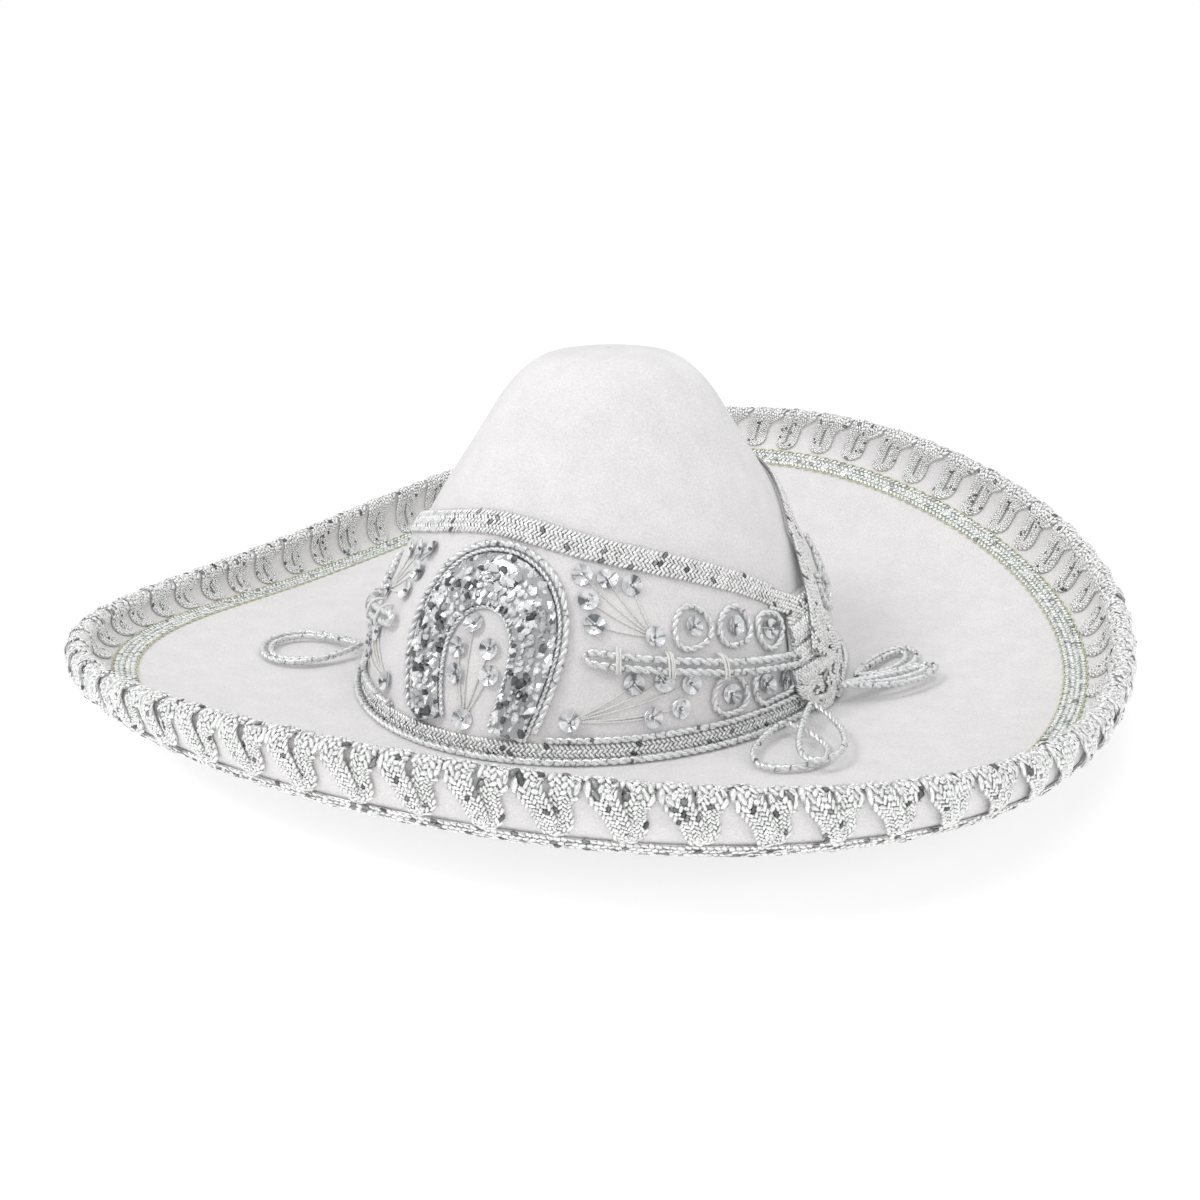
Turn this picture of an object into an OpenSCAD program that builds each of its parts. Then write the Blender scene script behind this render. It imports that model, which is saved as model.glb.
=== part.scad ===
// Sombrero: a stiff crown and a wide upturned brim, covered in velvet and trimmed
// with silver braid, cord, bullion and sequins.
// The origin is the centre of the head opening, on the plane the hat rests on.
// +Z is up and the front is towards -Y. Angles round the hat are in degrees,
// counted from the front towards +X. Heights on the crown are counted from its foot.

/* [Crown] */
// Half width of the crown at its foot, over the velvet
crown_half_w = 96.2; // [94:0.1:99]
// Depth of the crown over its width, at the foot
crown_ratio = 1.155; // [1.12:0.005:1.18]
// How much that ratio drops by the top
crown_ratio_drop = 0.06; // [0:0.01:0.1]
// Height of the crown above the brim
crown_h = 131.8; // [126:0.2:138]
// How far the top of the crown leans back
crown_lean = 1.5; // [0:0.5:4]

/* [Brim] */
// Radius of the brim at the foot of its raised lip
lip_foot_r = 191; // [186:1:200]
// Width of the lip, from its foot to its upright edge
lip_run = 16.8; // [14:0.2:18]
// Depth of the brim over its width
brim_ratio = 0.972; // [0.95:0.002:1]
// How much the brim's outline bulges at the diagonals
brim_bulge = 0.024; // [0:0.002:0.03]
// How late the brim starts to rise, outwards from the crown
brim_rise_power = 1.5; // [1.3:0.1:2.2]
// Width of the brim's flat part round the foot of the crown
seam_w = 8; // [7:0.5:10]

/* [Layers] */
// Thickness of the velvet with its backing
velvet_t = 1.3; // [1:0.1:1.6]
// Thickness of the stiff core of crown and brim
core_t = 1.8; // [1.4:0.1:2.2]
// Thickness of the crown's lining
lining_t = 0.6; // [0.4:0.1:0.8]
// Thickness of the sweatband
sweatband_t = 1.6; // [1.2:0.1:2]
// Height of the sweatband
sweatband_h = 34; // [25:1:40]
// Thickness of the binding under the head opening
binding_t = 1.2; // [0.8:0.1:1.6]
// Clear space left between stacked layers
gap = 0.1; // [0.08:0.01:0.12]

/* [Hat band] */
// Height of the front panel at its peak, with its braid
front_peak = 80; // [79.5:0.5:82]
// Height of the back panel at its peak, with its braid
back_peak = 85; // [80:1:88]
// Width of the band's edge braid
braid_w = 7.5; // [6.5:0.5:7.5]
// Thickness of all flat braid
braid_t = 1.6; // [1.2:0.1:1.8]
// Height of the braid round the crown's foot
base_braid_h = 6.4; // [5:0.2:7]

/* [Horseshoe] */
// Half width of the horseshoe, to the middle of its band
shoe_half_w = 21; // [20.8:0.2:21.4]
// Half width at its open end, to the middle of its band
shoe_foot_half_w = 16.2; // [15.6:0.2:17]
// Height of the arch's top, to the middle of its band
shoe_top = 58.8; // [57:0.2:58.8]
// Height where the legs meet the arch
shoe_mid = 35; // [33:1:37]
// Height of the legs' lower ends
shoe_foot = 9; // [8.8:0.2:10]
// Width of the horseshoe's band at the top of the arch
shoe_band_w = 17; // [16:0.5:17]
// Width of that band at its ends
shoe_foot_w = 12.6; // [12:0.2:13.4]
// How far the horseshoe's band stands out from the panel
shoe_raise = 4.6; // [4.4:0.2:6]

/* [Cords and sequins] */
// Radius of the metallic cord
cord_r = 1.3; // [1:0.1:1.5]
// Radius of the thin cord along the horseshoe's edges
edge_cord_r = 0.7; // [0.5:0.1:0.8]
// Radius of a cup sequin
sequin_r = 3.9; // [3.5:0.1:4]
// Radius of a sewing thread
thread_r = 0.3; // [0.25:0.05:0.35]
// Thickness of the scroll braid round the rim
scroll_t = 2; // [1.6:0.1:2.2]

/* [Chin cord] */
// Half length of the slider on the chin cord
slider_half = 6; // [5:0.5:7]
// Radial running clearance between slider and cord
slider_clearance = 0.08; // [0.02:0.01:0.1]

/* [Hidden] */

stations = 48;
cord_sides = 6;
velvet_colour = [0.93, 0.92, 0.93];
silver = [0.78, 0.79, 0.8];
bright_silver = [0.88, 0.89, 0.9];
white = [0.96, 0.96, 0.95];

// Stacked layers, counted down from the brim's top surface or in from the crown's outside
layer_2 = velvet_t + gap;
layer_3 = layer_2 + core_t + gap;
brim_stack = layer_3 + velvet_t;
crown_stack = layer_3 + lining_t;
seat_z = binding_t + gap + brim_stack;
foot_z = seat_z + gap;
// The sweatband's inner face, in from the crown's outside
sweatband_in = crown_stack + 0.6 + sweatband_t;
// Heights off the crown's velvet at which the trims sit
on_panel = gap + velvet_t + gap;
under_braid = on_panel + 0.35;
over_braid = under_braid + braid_t;
panel_end = 79;
knot_half = 9.5;
front_side_drop = 0.3;
front_round = 14;
front_turn = -3;
shoe_centre = 2.2;
lip_steps = 4;
brim_steps = 4;

// Outline of the crown: shares of its half width and of its height, foot first
crown_keys = [[1, 0], [0.965, 0.14], [0.905, 0.277], [0.785, 0.454], [0.664, 0.608],
  [0.536, 0.754], [0.415, 0.89], [0.285, 0.973], [0.14, 0.997]];
last_key = len(crown_keys) - 1;

function unit(v) = v / norm(v);
function mix(a, b, t) = a + (b - a) * t;
function turn(th) = [for (i = [0 : stations - 1]) th + 360 * i / stations];

// ---------- Crown surface ----------

function crown_ratio_at(z) = crown_ratio - crown_ratio_drop * z / crown_h;

// Point of the crown at an angle, at radius r along X and height z above the foot
function crown_map(th, r, z) = [r * sin(th),
  -r * crown_ratio_at(z) * cos(th) + crown_lean * z / crown_h, foot_z + z];

crown_outline = [for (k = crown_keys) [crown_half_w * k[0], crown_h * k[1]]];
crown_radii = [for (p = crown_outline) [p[1], p[0]]];
function crown_r(z) = lookup(z, crown_radii);

// Point at an angle and height, standing off the crown's velvet
function on_crown(th, z, off) = crown_map(th, crown_r(z) + off, z);

function across(p, q) = unit([q[1] - p[1], p[0] - q[0]]);
function crown_normal(i) = i == 0 ? [1, 0]
  : i == last_key ? [0, 1]
  : across(crown_outline[i - 1], crown_outline[i + 1]);

function crown_ring(i, d) = let (p = crown_outline[i] - d * crown_normal(i))
  [for (th = turn(0)) crown_map(th, p[0], p[1])];

function crown_direction(th, z) = let (
    along = on_crown(th + 1, z, 0) - on_crown(th - 1, z, 0),
    upward = on_crown(th, z + 1, 0) - on_crown(th, z - 1, 0))
  unit(cross(along, upward));

// ---------- Brim surface ----------

function ring_scale(th) = 1 - brim_bulge * cos(4 * th);
function ring_xy(th, r) = r * ring_scale(th) * [sin(th), -brim_ratio * cos(th)];
function foot_xy(th) = crown_half_w * [sin(th), -crown_ratio * cos(th)];

// Heights of the wavy lip above the brim's flat part, at its foot and at its rim
function lip_foot_z(th) = 19.3 - 12.3 * cos(th) + 15 * cos(2 * th) - 5 * cos(3 * th)
  + 1.2 * sin(th) - 0.6 * sin(2 * th) - 0.8 * sin(3 * th);
function lip_top_z(th) = 38.2 - 15.6 * cos(th) + 18.9 * cos(2 * th) - 3.1 * cos(3 * th)
  + 2.3 * sin(th) + 1.3 * sin(2 * th);

function brim_reach(th) = norm(ring_xy(th, lip_foot_r) - foot_xy(th));

function bezier(p, t) = p[0] * pow(1 - t, 3) + p[1] * 3 * t * pow(1 - t, 2)
  + p[2] * 3 * t * t * (1 - t) + p[3] * pow(t, 3);

// The lip's section: outward distance and height, leaving the brim's slope and ending upright
function lip_section(th) = let (
    reach = brim_reach(th),
    foot = lip_foot_z(th),
    slope = brim_rise_power * foot / (reach - seam_w),
    rise = lip_top_z(th) - foot)
  [[reach, foot], [reach + lip_run * 0.65, foot + slope * lip_run * 0.65],
    [reach + lip_run, foot + rise * 0.3], [reach + lip_run, foot + rise]];

function lip_at(th, w) = bezier(lip_section(th), w);
// Section point of the brim at share t of the way from its flat seam to the lip
function brim_at(th, t) = [mix(seam_w, brim_reach(th), t), lip_foot_z(th) * pow(max(t, 0), brim_rise_power)];
function lip_normal(th, w) = let (c = lip_at(th, min(w + 0.02, 1)) - lip_at(th, max(w - 0.02, 0)))
  unit([-c[1], c[0]]);
function brim_normal(th, t) = let (c = brim_at(th, t + 0.01) - brim_at(th, t - 0.01))
  unit([-c[1], c[0]]);

// Section points at depth d under the brim's top surface, from the head opening to the rim
function brim_line(th, d) = concat(
  [[-crown_stack, -d], [seam_w, -d]],
  [for (k = [1 : brim_steps - 1]) let (t = k / brim_steps) brim_at(th, t) - d * brim_normal(th, t)],
  [for (k = [0 : lip_steps]) lip_line(th, k / lip_steps, d)]);
function lip_line(th, w, d) = lip_at(th, w) - d * lip_normal(th, w);

// Place a section point [outward distance from the crown's foot, height] round the hat
function brim_map(th, p) = let (
    base = foot_xy(th),
    out = unit(ring_xy(th, lip_foot_r) - base),
    at = base + p[0] * out)
  [at[0], at[1], seat_z + p[1]];

function on_brim(th, s, off) = let (t = (s - seam_w) / (brim_reach(th) - seam_w))
  brim_map(th, brim_at(th, t) + off * brim_normal(th, t));

// ---------- Solids swept through sections ----------

// Sections run counter-clockwise seen from the far end of the sweep. The second half of a
// section is split on the other diagonal, so that facing surfaces of stacked layers match
module skin(sections, closed = false) {
  m = len(sections[0]);
  n = len(sections);
  sides = [for (i = [0 : closed ? n - 1 : n - 2], j = [0 : m - 1]) let (
      a = i * m + j,
      b = ((i + 1) % n) * m + j,
      c = ((i + 1) % n) * m + (j + 1) % m,
      d = i * m + (j + 1) % m)
    each j < m / 2 - 0.5 ? [[a, b, c], [a, c, d]] : [[a, b, d], [b, c, d]]];
  start = [for (j = [0 : m - 1]) j];
  end = [for (j = [m - 1 : -1 : 0]) (n - 1) * m + j];
  polyhedron([for (s = sections) each s], closed ? sides : concat(sides, [start, end]), 8);
}

// A thin shell over the crown, between two depths under its outside
module crown_layer(outer, inner) {
  keys = [0 : last_key];
  skin(concat([for (i = keys) crown_ring(last_key - i, inner)], [for (i = keys) crown_ring(i, outer)]));
}

// A layer of the brim between two depths
module brim_layer(upper, lower) {
  skin([for (th = turn(0)) [for (p = concat(brim_line(th, upper), reverse(brim_line(th, lower))))
    brim_map(th, p)]], true);
}

function reverse(list) = [for (i = [len(list) - 1 : -1 : 0]) list[i]];

// A strip on the lip between shares w1 and w2 of its section, at depths upper and lower
module lip_strip(w1, w2, upper, lower, steps) {
  shares = [for (k = [0 : steps]) mix(w1, w2, k / steps)];
  skin([for (th = turn(0)) [for (p = concat(
      [for (w = shares) lip_line(th, w, upper)],
      reverse([for (w = shares) lip_line(th, w, lower)]))) brim_map(th, p)]], true);
}

// A round cord along a path, its section kept square to the path
module cord(path, r, closed = false, up = [0, 0, 1], sides = cord_sides) {
  n = len(path);
  skin([for (i = [0 : n - 1]) let (
      before = closed ? path[(i + n - 1) % n] : path[max(i - 1, 0)],
      after = closed ? path[(i + 1) % n] : path[min(i + 1, n - 1)],
      along = unit(after - before),
      side = unit(cross(up, along)),
      over = cross(along, side))
    [for (k = [0 : sides - 1]) let (a = 360 * k / sides + 30)
      path[i] + r * (cos(a) * side + sin(a) * over)]], closed);
}

// A strip standing on the crown, between edges low(th) and high(th) given at each angle
module crown_strip(angles, low, high, near, far) {
  skin([for (i = [0 : len(angles) - 1]) [
    on_crown(angles[i], low[i], near), on_crown(angles[i], high[i], near),
    on_crown(angles[i], high[i], far), on_crown(angles[i], low[i], far)]]);
}

module on_surface(th, z, off) {
  d = crown_direction(th, z);
  translate(on_crown(th, z, off)) rotate([0, acos(d[2]), atan2(d[1], d[0])]) children();
}

// ---------- Crown ----------

module crown_velvet() {
  color(velvet_colour) crown_layer(0, velvet_t);
}

module crown_shell() {
  color("tan") crown_layer(layer_2, layer_2 + core_t);
}

module crown_lining() {
  color(white) crown_layer(layer_3, crown_stack);
}

module sweatband() {
  near = sweatband_t - sweatband_in;
  far = -sweatband_in;
  levels = [-brim_stack, 0, sweatband_h / 2, sweatband_h];
  color("silver") skin([for (th = turn(0)) concat(
    reverse([for (z = levels) band_point(th, z, near)]),
    [for (z = levels) band_point(th, z, far)])], true);
}
function band_point(th, z, off) = crown_map(th, crown_r(max(z, 0)) + off, z);

module opening_ring(off) {
  polygon([for (th = turn(0)) let (r = crown_half_w - crown_stack + off)
    [r * sin(th), -r * crown_ratio * cos(th)]]);
}

module opening_binding() {
  width = 9;
  color(white) linear_extrude(binding_t) difference() {
    opening_ring(width);
    opening_ring(0.4);
  }
}

// ---------- Brim ----------

module brim_top_velvet() {
  color(velvet_colour) brim_layer(0, velvet_t);
}

module brim_core() {
  color("tan") brim_layer(layer_2, layer_2 + core_t);
}

module brim_under_velvet() {
  color(velvet_colour) brim_layer(layer_3, brim_stack);
}

// The wire lies on the upper edge of the core, between the two velvets
module rim_wire() {
  wire_r = 1;
  path = [for (th = turn(0)) brim_map(th, lip_line(th, 1, brim_stack / 2) + [0, wire_r + gap])];
  color("gray") cord(path, wire_r, true);
}

// The looped braid wraps the rim from half way down the inside to a third of the way down the outside
module rim_scroll_braid() {
  over_wire = 2.4;
  inside_from = 0.5;
  outside_to = 0.7;
  steps = 2;
  inner = [for (k = [0 : steps]) mix(inside_from, 1, k / steps)];
  outer = [for (k = [0 : steps]) mix(1, outside_to, k / steps)];
  color(silver) skin([for (th = turn(0)) let (
      far = brim_stack + gap + 0.3,
      skin_over = concat(
        [for (w = inner) lip_line(th, w, -gap - scroll_t)],
        [lip_line(th, 1, brim_stack / 2) + [0, over_wire + scroll_t]],
        [for (w = outer) lip_line(th, w, far + scroll_t)]),
      skin_under = concat(
        [for (w = reverse(outer)) lip_line(th, w, far)],
        [lip_line(th, 1, far) + [0, over_wire], lip_line(th, 1, -gap) + [0, over_wire]],
        [for (w = reverse(inner)) lip_line(th, w, -gap)]))
    [for (p = concat(skin_over, skin_under)) brim_map(th, p)]], true);
}

module rim_lower_braid() {
  clear = brim_stack + gap + 0.3;
  color(bright_silver) lip_strip(0.42, 0.66, clear, clear + braid_t, 2);
}

module brim_sequin_ribbon() {
  ribbon_t = 0.6;
  color(bright_silver) lip_strip(0, 0.25, -gap - ribbon_t, -gap, 1);
}

// ---------- Hat band ----------

// Height of the front panel's upper edge, over a rounded peak that sits a little left of the middle
function front_edge(th) = let (a = abs(th - front_turn)) front_peak
  - front_side_drop * (sqrt(a * a + front_round * front_round) - front_round) - 9 * pow(a / 80, 5);
// The back panel rises steeply beside the knots and is nearly level behind
function back_edge(th) = let (a = 180 - th) back_peak - 43 * pow(abs(a) / 92, 4.5);

// The panels follow the crown's own stations, so that they lie flat on it
band_half = floor(panel_end * stations / 360);
front_angles = concat([-panel_end], [for (i = [-band_half : band_half]) i * 360 / stations], [panel_end]);
back_angles = [for (th = front_angles) 180 + th];

module band_panel(angles, edges) {
  hem = 2;
  rows = 5;
  color(velvet_colour) skin([for (i = [0 : len(angles) - 1]) let (
      top = edges[i] - hem,
      zs = [for (k = [0 : rows]) min(k < rows ? crown_outline[k][1] : top, top - (rows - k) * 0.3)])
    concat([for (z = zs) on_crown(angles[i], z, gap)],
      reverse([for (z = zs) on_crown(angles[i], z, gap + velvet_t)]))]);
}

module front_band_panel() {
  band_panel(front_angles, [for (th = front_angles) front_edge(th)]);
}

module back_band_panel() {
  band_panel(back_angles, [for (th = back_angles) back_edge(th)]);
}

module band_braid(angles, edges) {
  color(silver) crown_strip(angles, [for (h = edges) h - braid_w], edges, under_braid, over_braid);
}

module front_band_braid() {
  band_braid(front_angles, [for (th = front_angles) front_edge(th)]);
}

module back_band_braid() {
  band_braid(back_angles, [for (th = back_angles) back_edge(th)]);
}

module base_braid() {
  color(silver) skin([for (th = turn(0)) [
    on_crown(th, gap, under_braid), on_crown(th, base_braid_h, under_braid),
    on_crown(th, base_braid_h, over_braid), on_crown(th, gap, over_braid)]], true);
}

module base_cord() {
  path = [for (th = turn(0)) on_crown(th, cord_r + 0.2, over_braid + cord_r + gap)];
  color(silver) cord(path, cord_r, true);
}

// ---------- Horseshoe ----------

shoe_arch_h = shoe_top - shoe_mid;
arch_steps = 7;
leg_steps = 3;
function leg_half_w(z) = mix(shoe_half_w, shoe_foot_half_w, 1 - cos(90 * (shoe_mid - z) / (shoe_mid - shoe_foot)));

// Half of the horseshoe's middle line from the foot of the leg to the top, as [across, height]
right_half = concat(
  [for (k = [0 : leg_steps - 1]) let (z = mix(shoe_foot, shoe_mid, k / leg_steps)) [leg_half_w(z), z]],
  [for (k = [0 : arch_steps]) let (a = 90 * k / arch_steps)
    [shoe_half_w * cos(a), shoe_mid + shoe_arch_h * sin(a)]]);
left_half = [for (k = [len(right_half) - 2 : -1 : 0]) [-right_half[k][0], right_half[k][1]]];
shoe_line = concat(right_half, left_half);

// A point beside the horseshoe's middle line; positive is outside the arch
function beside_shoe(i, w) = let (
    p = shoe_line[i],
    q = shoe_line[min(i + 1, len(shoe_line) - 1)],
    o = shoe_line[max(i - 1, 0)])
  p + w * across(o, q);

// Half width of the band, which narrows from the top of the arch to the ends
function shoe_half_band(i) = let (share = min(max((shoe_line[i][1] - shoe_foot) / (shoe_top - shoe_foot), 0), 1))
  mix(shoe_foot_w, shoe_band_w, share) / 2;

// Place a point given by distance across the front and height
function on_front(p, off) = on_crown(asin(p[0] / crown_r(p[1])) + shoe_centre, p[1], off);

module shoe_slab(inset, near, far) {
  skin([for (i = [0 : len(shoe_line) - 1]) let (
      half_w = shoe_half_band(i) - inset,
      crown_w = shoe_half_band(i) / 2) [
    on_front(beside_shoe(i, -half_w), near),
    on_front(beside_shoe(i, -half_w), far),
    on_front(beside_shoe(i, -crown_w), far + 1.2),
    on_front(beside_shoe(i, crown_w), far + 1.2),
    on_front(beside_shoe(i, half_w), far),
    on_front(beside_shoe(i, half_w), near)]]);
}

module horseshoe_pad() {
  color(white) shoe_slab(1.5, on_panel + 0.4, on_panel + 0.8);
}

module horseshoe_bullion() {
  color(bright_silver) shoe_slab(0, on_panel + 2.6, on_panel + shoe_raise - 1.2);
}

module beside_cord(side, clear, off, r, first, last) {
  cord([for (i = [first : last]) on_front(beside_shoe(i, side * (shoe_half_band(i) + clear)), off)], r,
    up = [0, -1, 0]);
}

module horseshoe_edge_cords() {
  off = on_panel + edge_cord_r + 0.3;
  end = len(shoe_line) - 1;
  color(silver) for (side = [-1, 1]) beside_cord(side, edge_cord_r, off, edge_cord_r, 0, end);
}

module horseshoe_outer_cord() {
  off = on_panel + cord_r + 0.2;
  color(silver) beside_cord(1, 2 * edge_cord_r + cord_r + 0.2, off, cord_r, 1, len(shoe_line) - 2);
}

// ---------- Sequins, sprays and rosettes ----------

module sequin(th, z) {
  cup_t = 0.7;
  hole_r = 0.6;
  on_surface(th, z, on_panel + 2 * thread_r + 0.3) difference() {
    cylinder(h = cup_t, r = sequin_r);
    translate([0, 0, -1]) cylinder(h = cup_t + 2, r = hole_r);
  }
}

module sequins(places) {
  color(bright_silver) for (p = places) sequin(p[0], p[1]);
}

function mirrored(places) = [for (p = places) [-p[0], p[1]]];
function turned_back(places) = [for (p = places) [180 - p[0], p[1]]];

// Each spray lists its sequins as [angle, height]; threads run from the first to the others
shoe_spray = [[1.6, 11.8], [-0.2, 43.6], [-2.8, 35.4], [5.6, 36.6], [6.7, 28], [-2, 26.8]];
upper_spray = [[43.5, 41], [26, 61.8], [32.4, 60.2], [38.6, 58], [27.8, 53.8], [29.6, 46]];
lower_spray = [[25.4, 14.5], [38.6, 26.4], [45, 26.2], [51, 24.2], [48.4, 16.4], [42.4, 14.4]];
upper_rosettes = [[53, 42.6], [64, 40.2], [74, 35.6]];
// The last lower ring is long and holds two sequins
lower_rosettes = [[60.4, 17.6], [70.2, 17], [75.8, 16.4]];
rosette_r = 6;
rosette_cord_r = 1.1;

module horseshoe_sequins() {
  sequins(shoe_spray);
}

right_spray = concat(upper_spray, lower_spray);

module spray_sequins_right() {
  sequins(right_spray);
}

module spray_sequins_left() {
  sequins(mirrored(right_spray));
}

module back_sequins() {
  sequins(concat(turned_back(right_spray), turned_back(mirrored(right_spray))));
}

// A thread from one sequin's edge to another's, following the panel
module thread(from, to) {
  width = norm(on_crown(to[0], to[1], 0) - on_crown(from[0], from[1], 0));
  clear = (sequin_r + 0.5) / width;
  steps = 3;
  path = [for (k = [0 : steps]) let (p = mix(from, to, mix(clear, 1 - clear, k / steps)))
    on_crown(p[0], p[1], on_panel + thread_r + 0.2)];
  cord(path, thread_r, up = crown_direction(from[0], from[1]), sides = 3);
}

module threads(spray) {
  for (k = [1 : len(spray) - 1]) thread(spray[0], spray[k]);
}

module spray_threads() {
  color(white) {
    threads(shoe_spray);
    for (spray = [upper_spray, lower_spray]) {
      threads(spray);
      threads(mirrored(spray));
      threads(turned_back(spray));
      threads(turned_back(mirrored(spray)));
    }
  }
}

function all_sides(places) = concat(places, mirrored(places));
round_rosettes = all_sides(concat(upper_rosettes, [lower_rosettes[0]]));
back_rosettes = turned_back(all_sides(upper_rosettes));
rosette_off = on_panel + rosette_cord_r + 0.4;

// A long ring of cord round two sequins at the same height
module long_rosette(side) {
  from = lower_rosettes[1];
  to = lower_rosettes[2];
  steps = 7;
  per_degree = crown_r(from[1]) * PI / 180;
  end = function (p, way) [for (k = [0 : steps]) let (a = way * (180 * k / steps - 90))
    [side * (p[0] + way * rosette_r * cos(a) / per_degree), p[1] + rosette_r * sin(a)]];
  cord([for (p = concat(end(to, 1), end(from, -1))) on_crown(p[0], p[1], rosette_off)], rosette_cord_r, true,
    up = [side, -0.6, 0]);
}

module rosette_cords() {
  color(silver) {
    for (p = concat(round_rosettes, back_rosettes)) on_surface(p[0], p[1], rosette_off)
      rotate_extrude() translate([rosette_r, 0]) circle(rosette_cord_r);
    for (side = [-1, 1]) long_rosette(side);
  }
}

module rosette_sequins() {
  sequins(concat(all_sides(concat(upper_rosettes, lower_rosettes)), back_rosettes));
}

// ---------- Cords over the band ----------

mid_tip = [29.5, 36.4];
mid_root = [78.5, 23.6];
mid_half = 2;
mid_off = on_panel + cord_r + 1.9;
function mid_at(th) = mix(mid_root[1], mid_tip[1], (mid_root[0] - th) / (mid_root[0] - mid_tip[0]));
// The cords rise over the rosettes on their way into the knot
function mid_rise(th) = 1.9 * (1 - cos(180 * min(max((th - 50) / 12, 0), 1))) / 2;

// A narrow closed loop of cord from the knot towards the horseshoe
module mid_cord(side) {
  steps = 8;
  angles = [for (k = [0 : steps]) mix(mid_root[0], mid_tip[0], k / steps)];
  out = [for (th = angles) [th, mid_at(th) + mid_half]];
  home = [for (th = reverse(angles)) [th, mid_at(th) - mid_half]];
  tip = [[mid_tip[0] - 1.5, mid_tip[1]]];
  root = [[mid_root[0] + 1, mid_root[1]]];
  path = [for (p = concat(out, tip, home, root)) on_crown(side * p[0], p[1], mid_off + mid_rise(p[0]))];
  color(silver) cord(path, cord_r, true, up = [side, -0.6, 0]);
}

module mid_cord_right() {
  mid_cord(1);
}

module mid_cord_left() {
  mid_cord(-1);
}

// A single cord just above the base braid, from the horseshoe to the knot
module lower_cord(side) {
  first = 21;
  last = 79;
  steps = 10;
  path = [for (k = [0 : steps]) on_crown(side * mix(first, last, k / steps),
    base_braid_h + cord_r + 0.6, on_panel + cord_r + 0.3)];
  color(silver) cord(path, cord_r, up = [side, -0.6, 0]);
}

module lower_cord_right() {
  lower_cord(1);
}

module lower_cord_left() {
  lower_cord(-1);
}

// White threads that hold each long loop down
module thread_ties() {
  tie_r = 0.45;
  reach = mid_half + cord_r + tie_r + 0.5;
  angles = [35, 46, 58];
  color(white) for (side = [-1, 1], th = angles) {
    low = mid_off + mid_rise(th);
    over = low + cord_r + tie_r + 0.5;
    profile = [[-reach, low], [-reach, over - 0.8], [-reach + 1.2, over],
      [reach - 1.2, over], [reach, over - 0.8], [reach, low]];
    cord([for (p = profile) on_crown(side * th, mid_at(th) + p[0], p[1])], tie_r,
      up = [cos(th), side * sin(th), 0], sides = 4);
  }
}

// ---------- Side knots and their loops ----------

// A woven mass of braid where the two band panels meet
module side_knot(side) {
  // Each row is height, half width in degrees, how far it stands out and where its inner side is
  rows = [[3.2, 5, 9.2, 6.6], [8.6, 8, 9.5, 4], [14, knot_half, 9.5, 0.7], [21, knot_half, 9.5, 0.7],
    [28, 8.5, 8.7, 0.7], [35, 7.5, 7.7, 0.7], [43, 5, 5.2, 0.7]];
  color(silver) skin([for (row = rows) let (
      outer = [[-1, 0.5], [-0.6, 0.9], [0, 1], [0.6, 0.9], [1, 0.5]],
      inner = [[1, 0], [0, 0], [-1, 0]])
    [for (p = concat(outer, inner))
      on_crown(side * 90 + p[0] * row[1], row[0], mix(row[3], row[2], p[1]))]]);
}

module side_knot_right() {
  side_knot(1);
}

module side_knot_left() {
  side_knot(-1);
}

loop_lift = 1.2;
loop_steps = 20;

// A teardrop loop of cord lying on the brim. Root and tip are given as [angle, reach out from the
// crown's foot]; it is raised by one cord for each loop under it
function loop_path(root, tip, half_w, under) = let (
    start = [0, root[1]],
    mean_r = crown_half_w + tip[1] / 2,
    finish = [(tip[0] - root[0]) * mean_r * PI / 180, tip[1]],
    along = finish - start,
    beside = unit([-along[1], along[0]]))
  [for (k = [0 : loop_steps - 1]) let (
      a = 360 * k / loop_steps,
      share = (1 - cos(a)) / 2,
      p = start + share * along + half_w * 1.22 * sin(a) * pow(share, 0.35) * beside,
      th = root[0] + p[0] / mean_r * 180 / PI)
    on_brim(th, p[1], cord_r + 0.8 + under * (2 * cord_r + 0.4) + loop_lift * pow(1 - share, 1.6))];

module cord_loop(root, tip, half_w, under) {
  color(silver) cord(loop_path(root, tip, half_w, under), cord_r, true);
}

module right_front_loops() {
  cord_loop([70, 9], [57.5, 38], 12, 0);
  cord_loop([78, 9.5], [60.5, 45], 7.5, 1);
}

// Two cords side by side in one loop
module left_front_loops() {
  cord_loop([-64.5, 9], [-60.5, 50], 17, 0);
  cord_loop([-64.5, 9], [-60.5, 46.4], 13.4, 0);
}

module back_loops(side) {
  cord_loop([side * 99.5, 11], [side * 118, 31.5], 8, 0);
  cord_loop([side * 90, 11], [side * 106.5, 41], 6, 1);
}

module right_back_loops() {
  back_loops(1);
}

module left_back_loops() {
  back_loops(-1);
}

// ---------- Chin cord, stowed in the top of the crown ----------

strand_x = 2.2;
strand_z = foot_z + 104;
strand_from = -22;
strand_to = 26;
wall_clear = sweatband_in + cord_r + 0.6;
slider_r = 4.6;
slider_bore_r = cord_r + slider_clearance;

module chin_strand(side) {
  wall = [for (z = [4 : 16 : 84]) on_crown(side * 90, z, -wall_clear)];
  bend = [[side * 34, -8, strand_z - 7], [side * 12, -19, strand_z - 1]];
  color("white") cord(concat(wall, bend, [[side * strand_x, strand_from, strand_z]]), cord_r, up = [0, 1, 0]);
  color("white") translate([side * strand_x, strand_from, strand_z]) rotate([-90, 0, 0])
    cylinder(h = strand_to - strand_from, r = cord_r);
}

module chin_cord() {
  chin_strand(-1);
  chin_strand(1);
}

// Small stitched tabs that hold the ends of the chin cord to the sweatband
module chin_cord_tabs() {
  tab_t = 1.4;
  tab_w = 9;
  tab_h = 7;
  off = sweatband_in + tab_t / 2 + 1;
  color("silver") for (side = [-1, 1])
    translate(on_crown(side * 90, 0, -off) + [0, 0, -0.6]) cube([tab_t, tab_w, tab_h], center = true);
}

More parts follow.
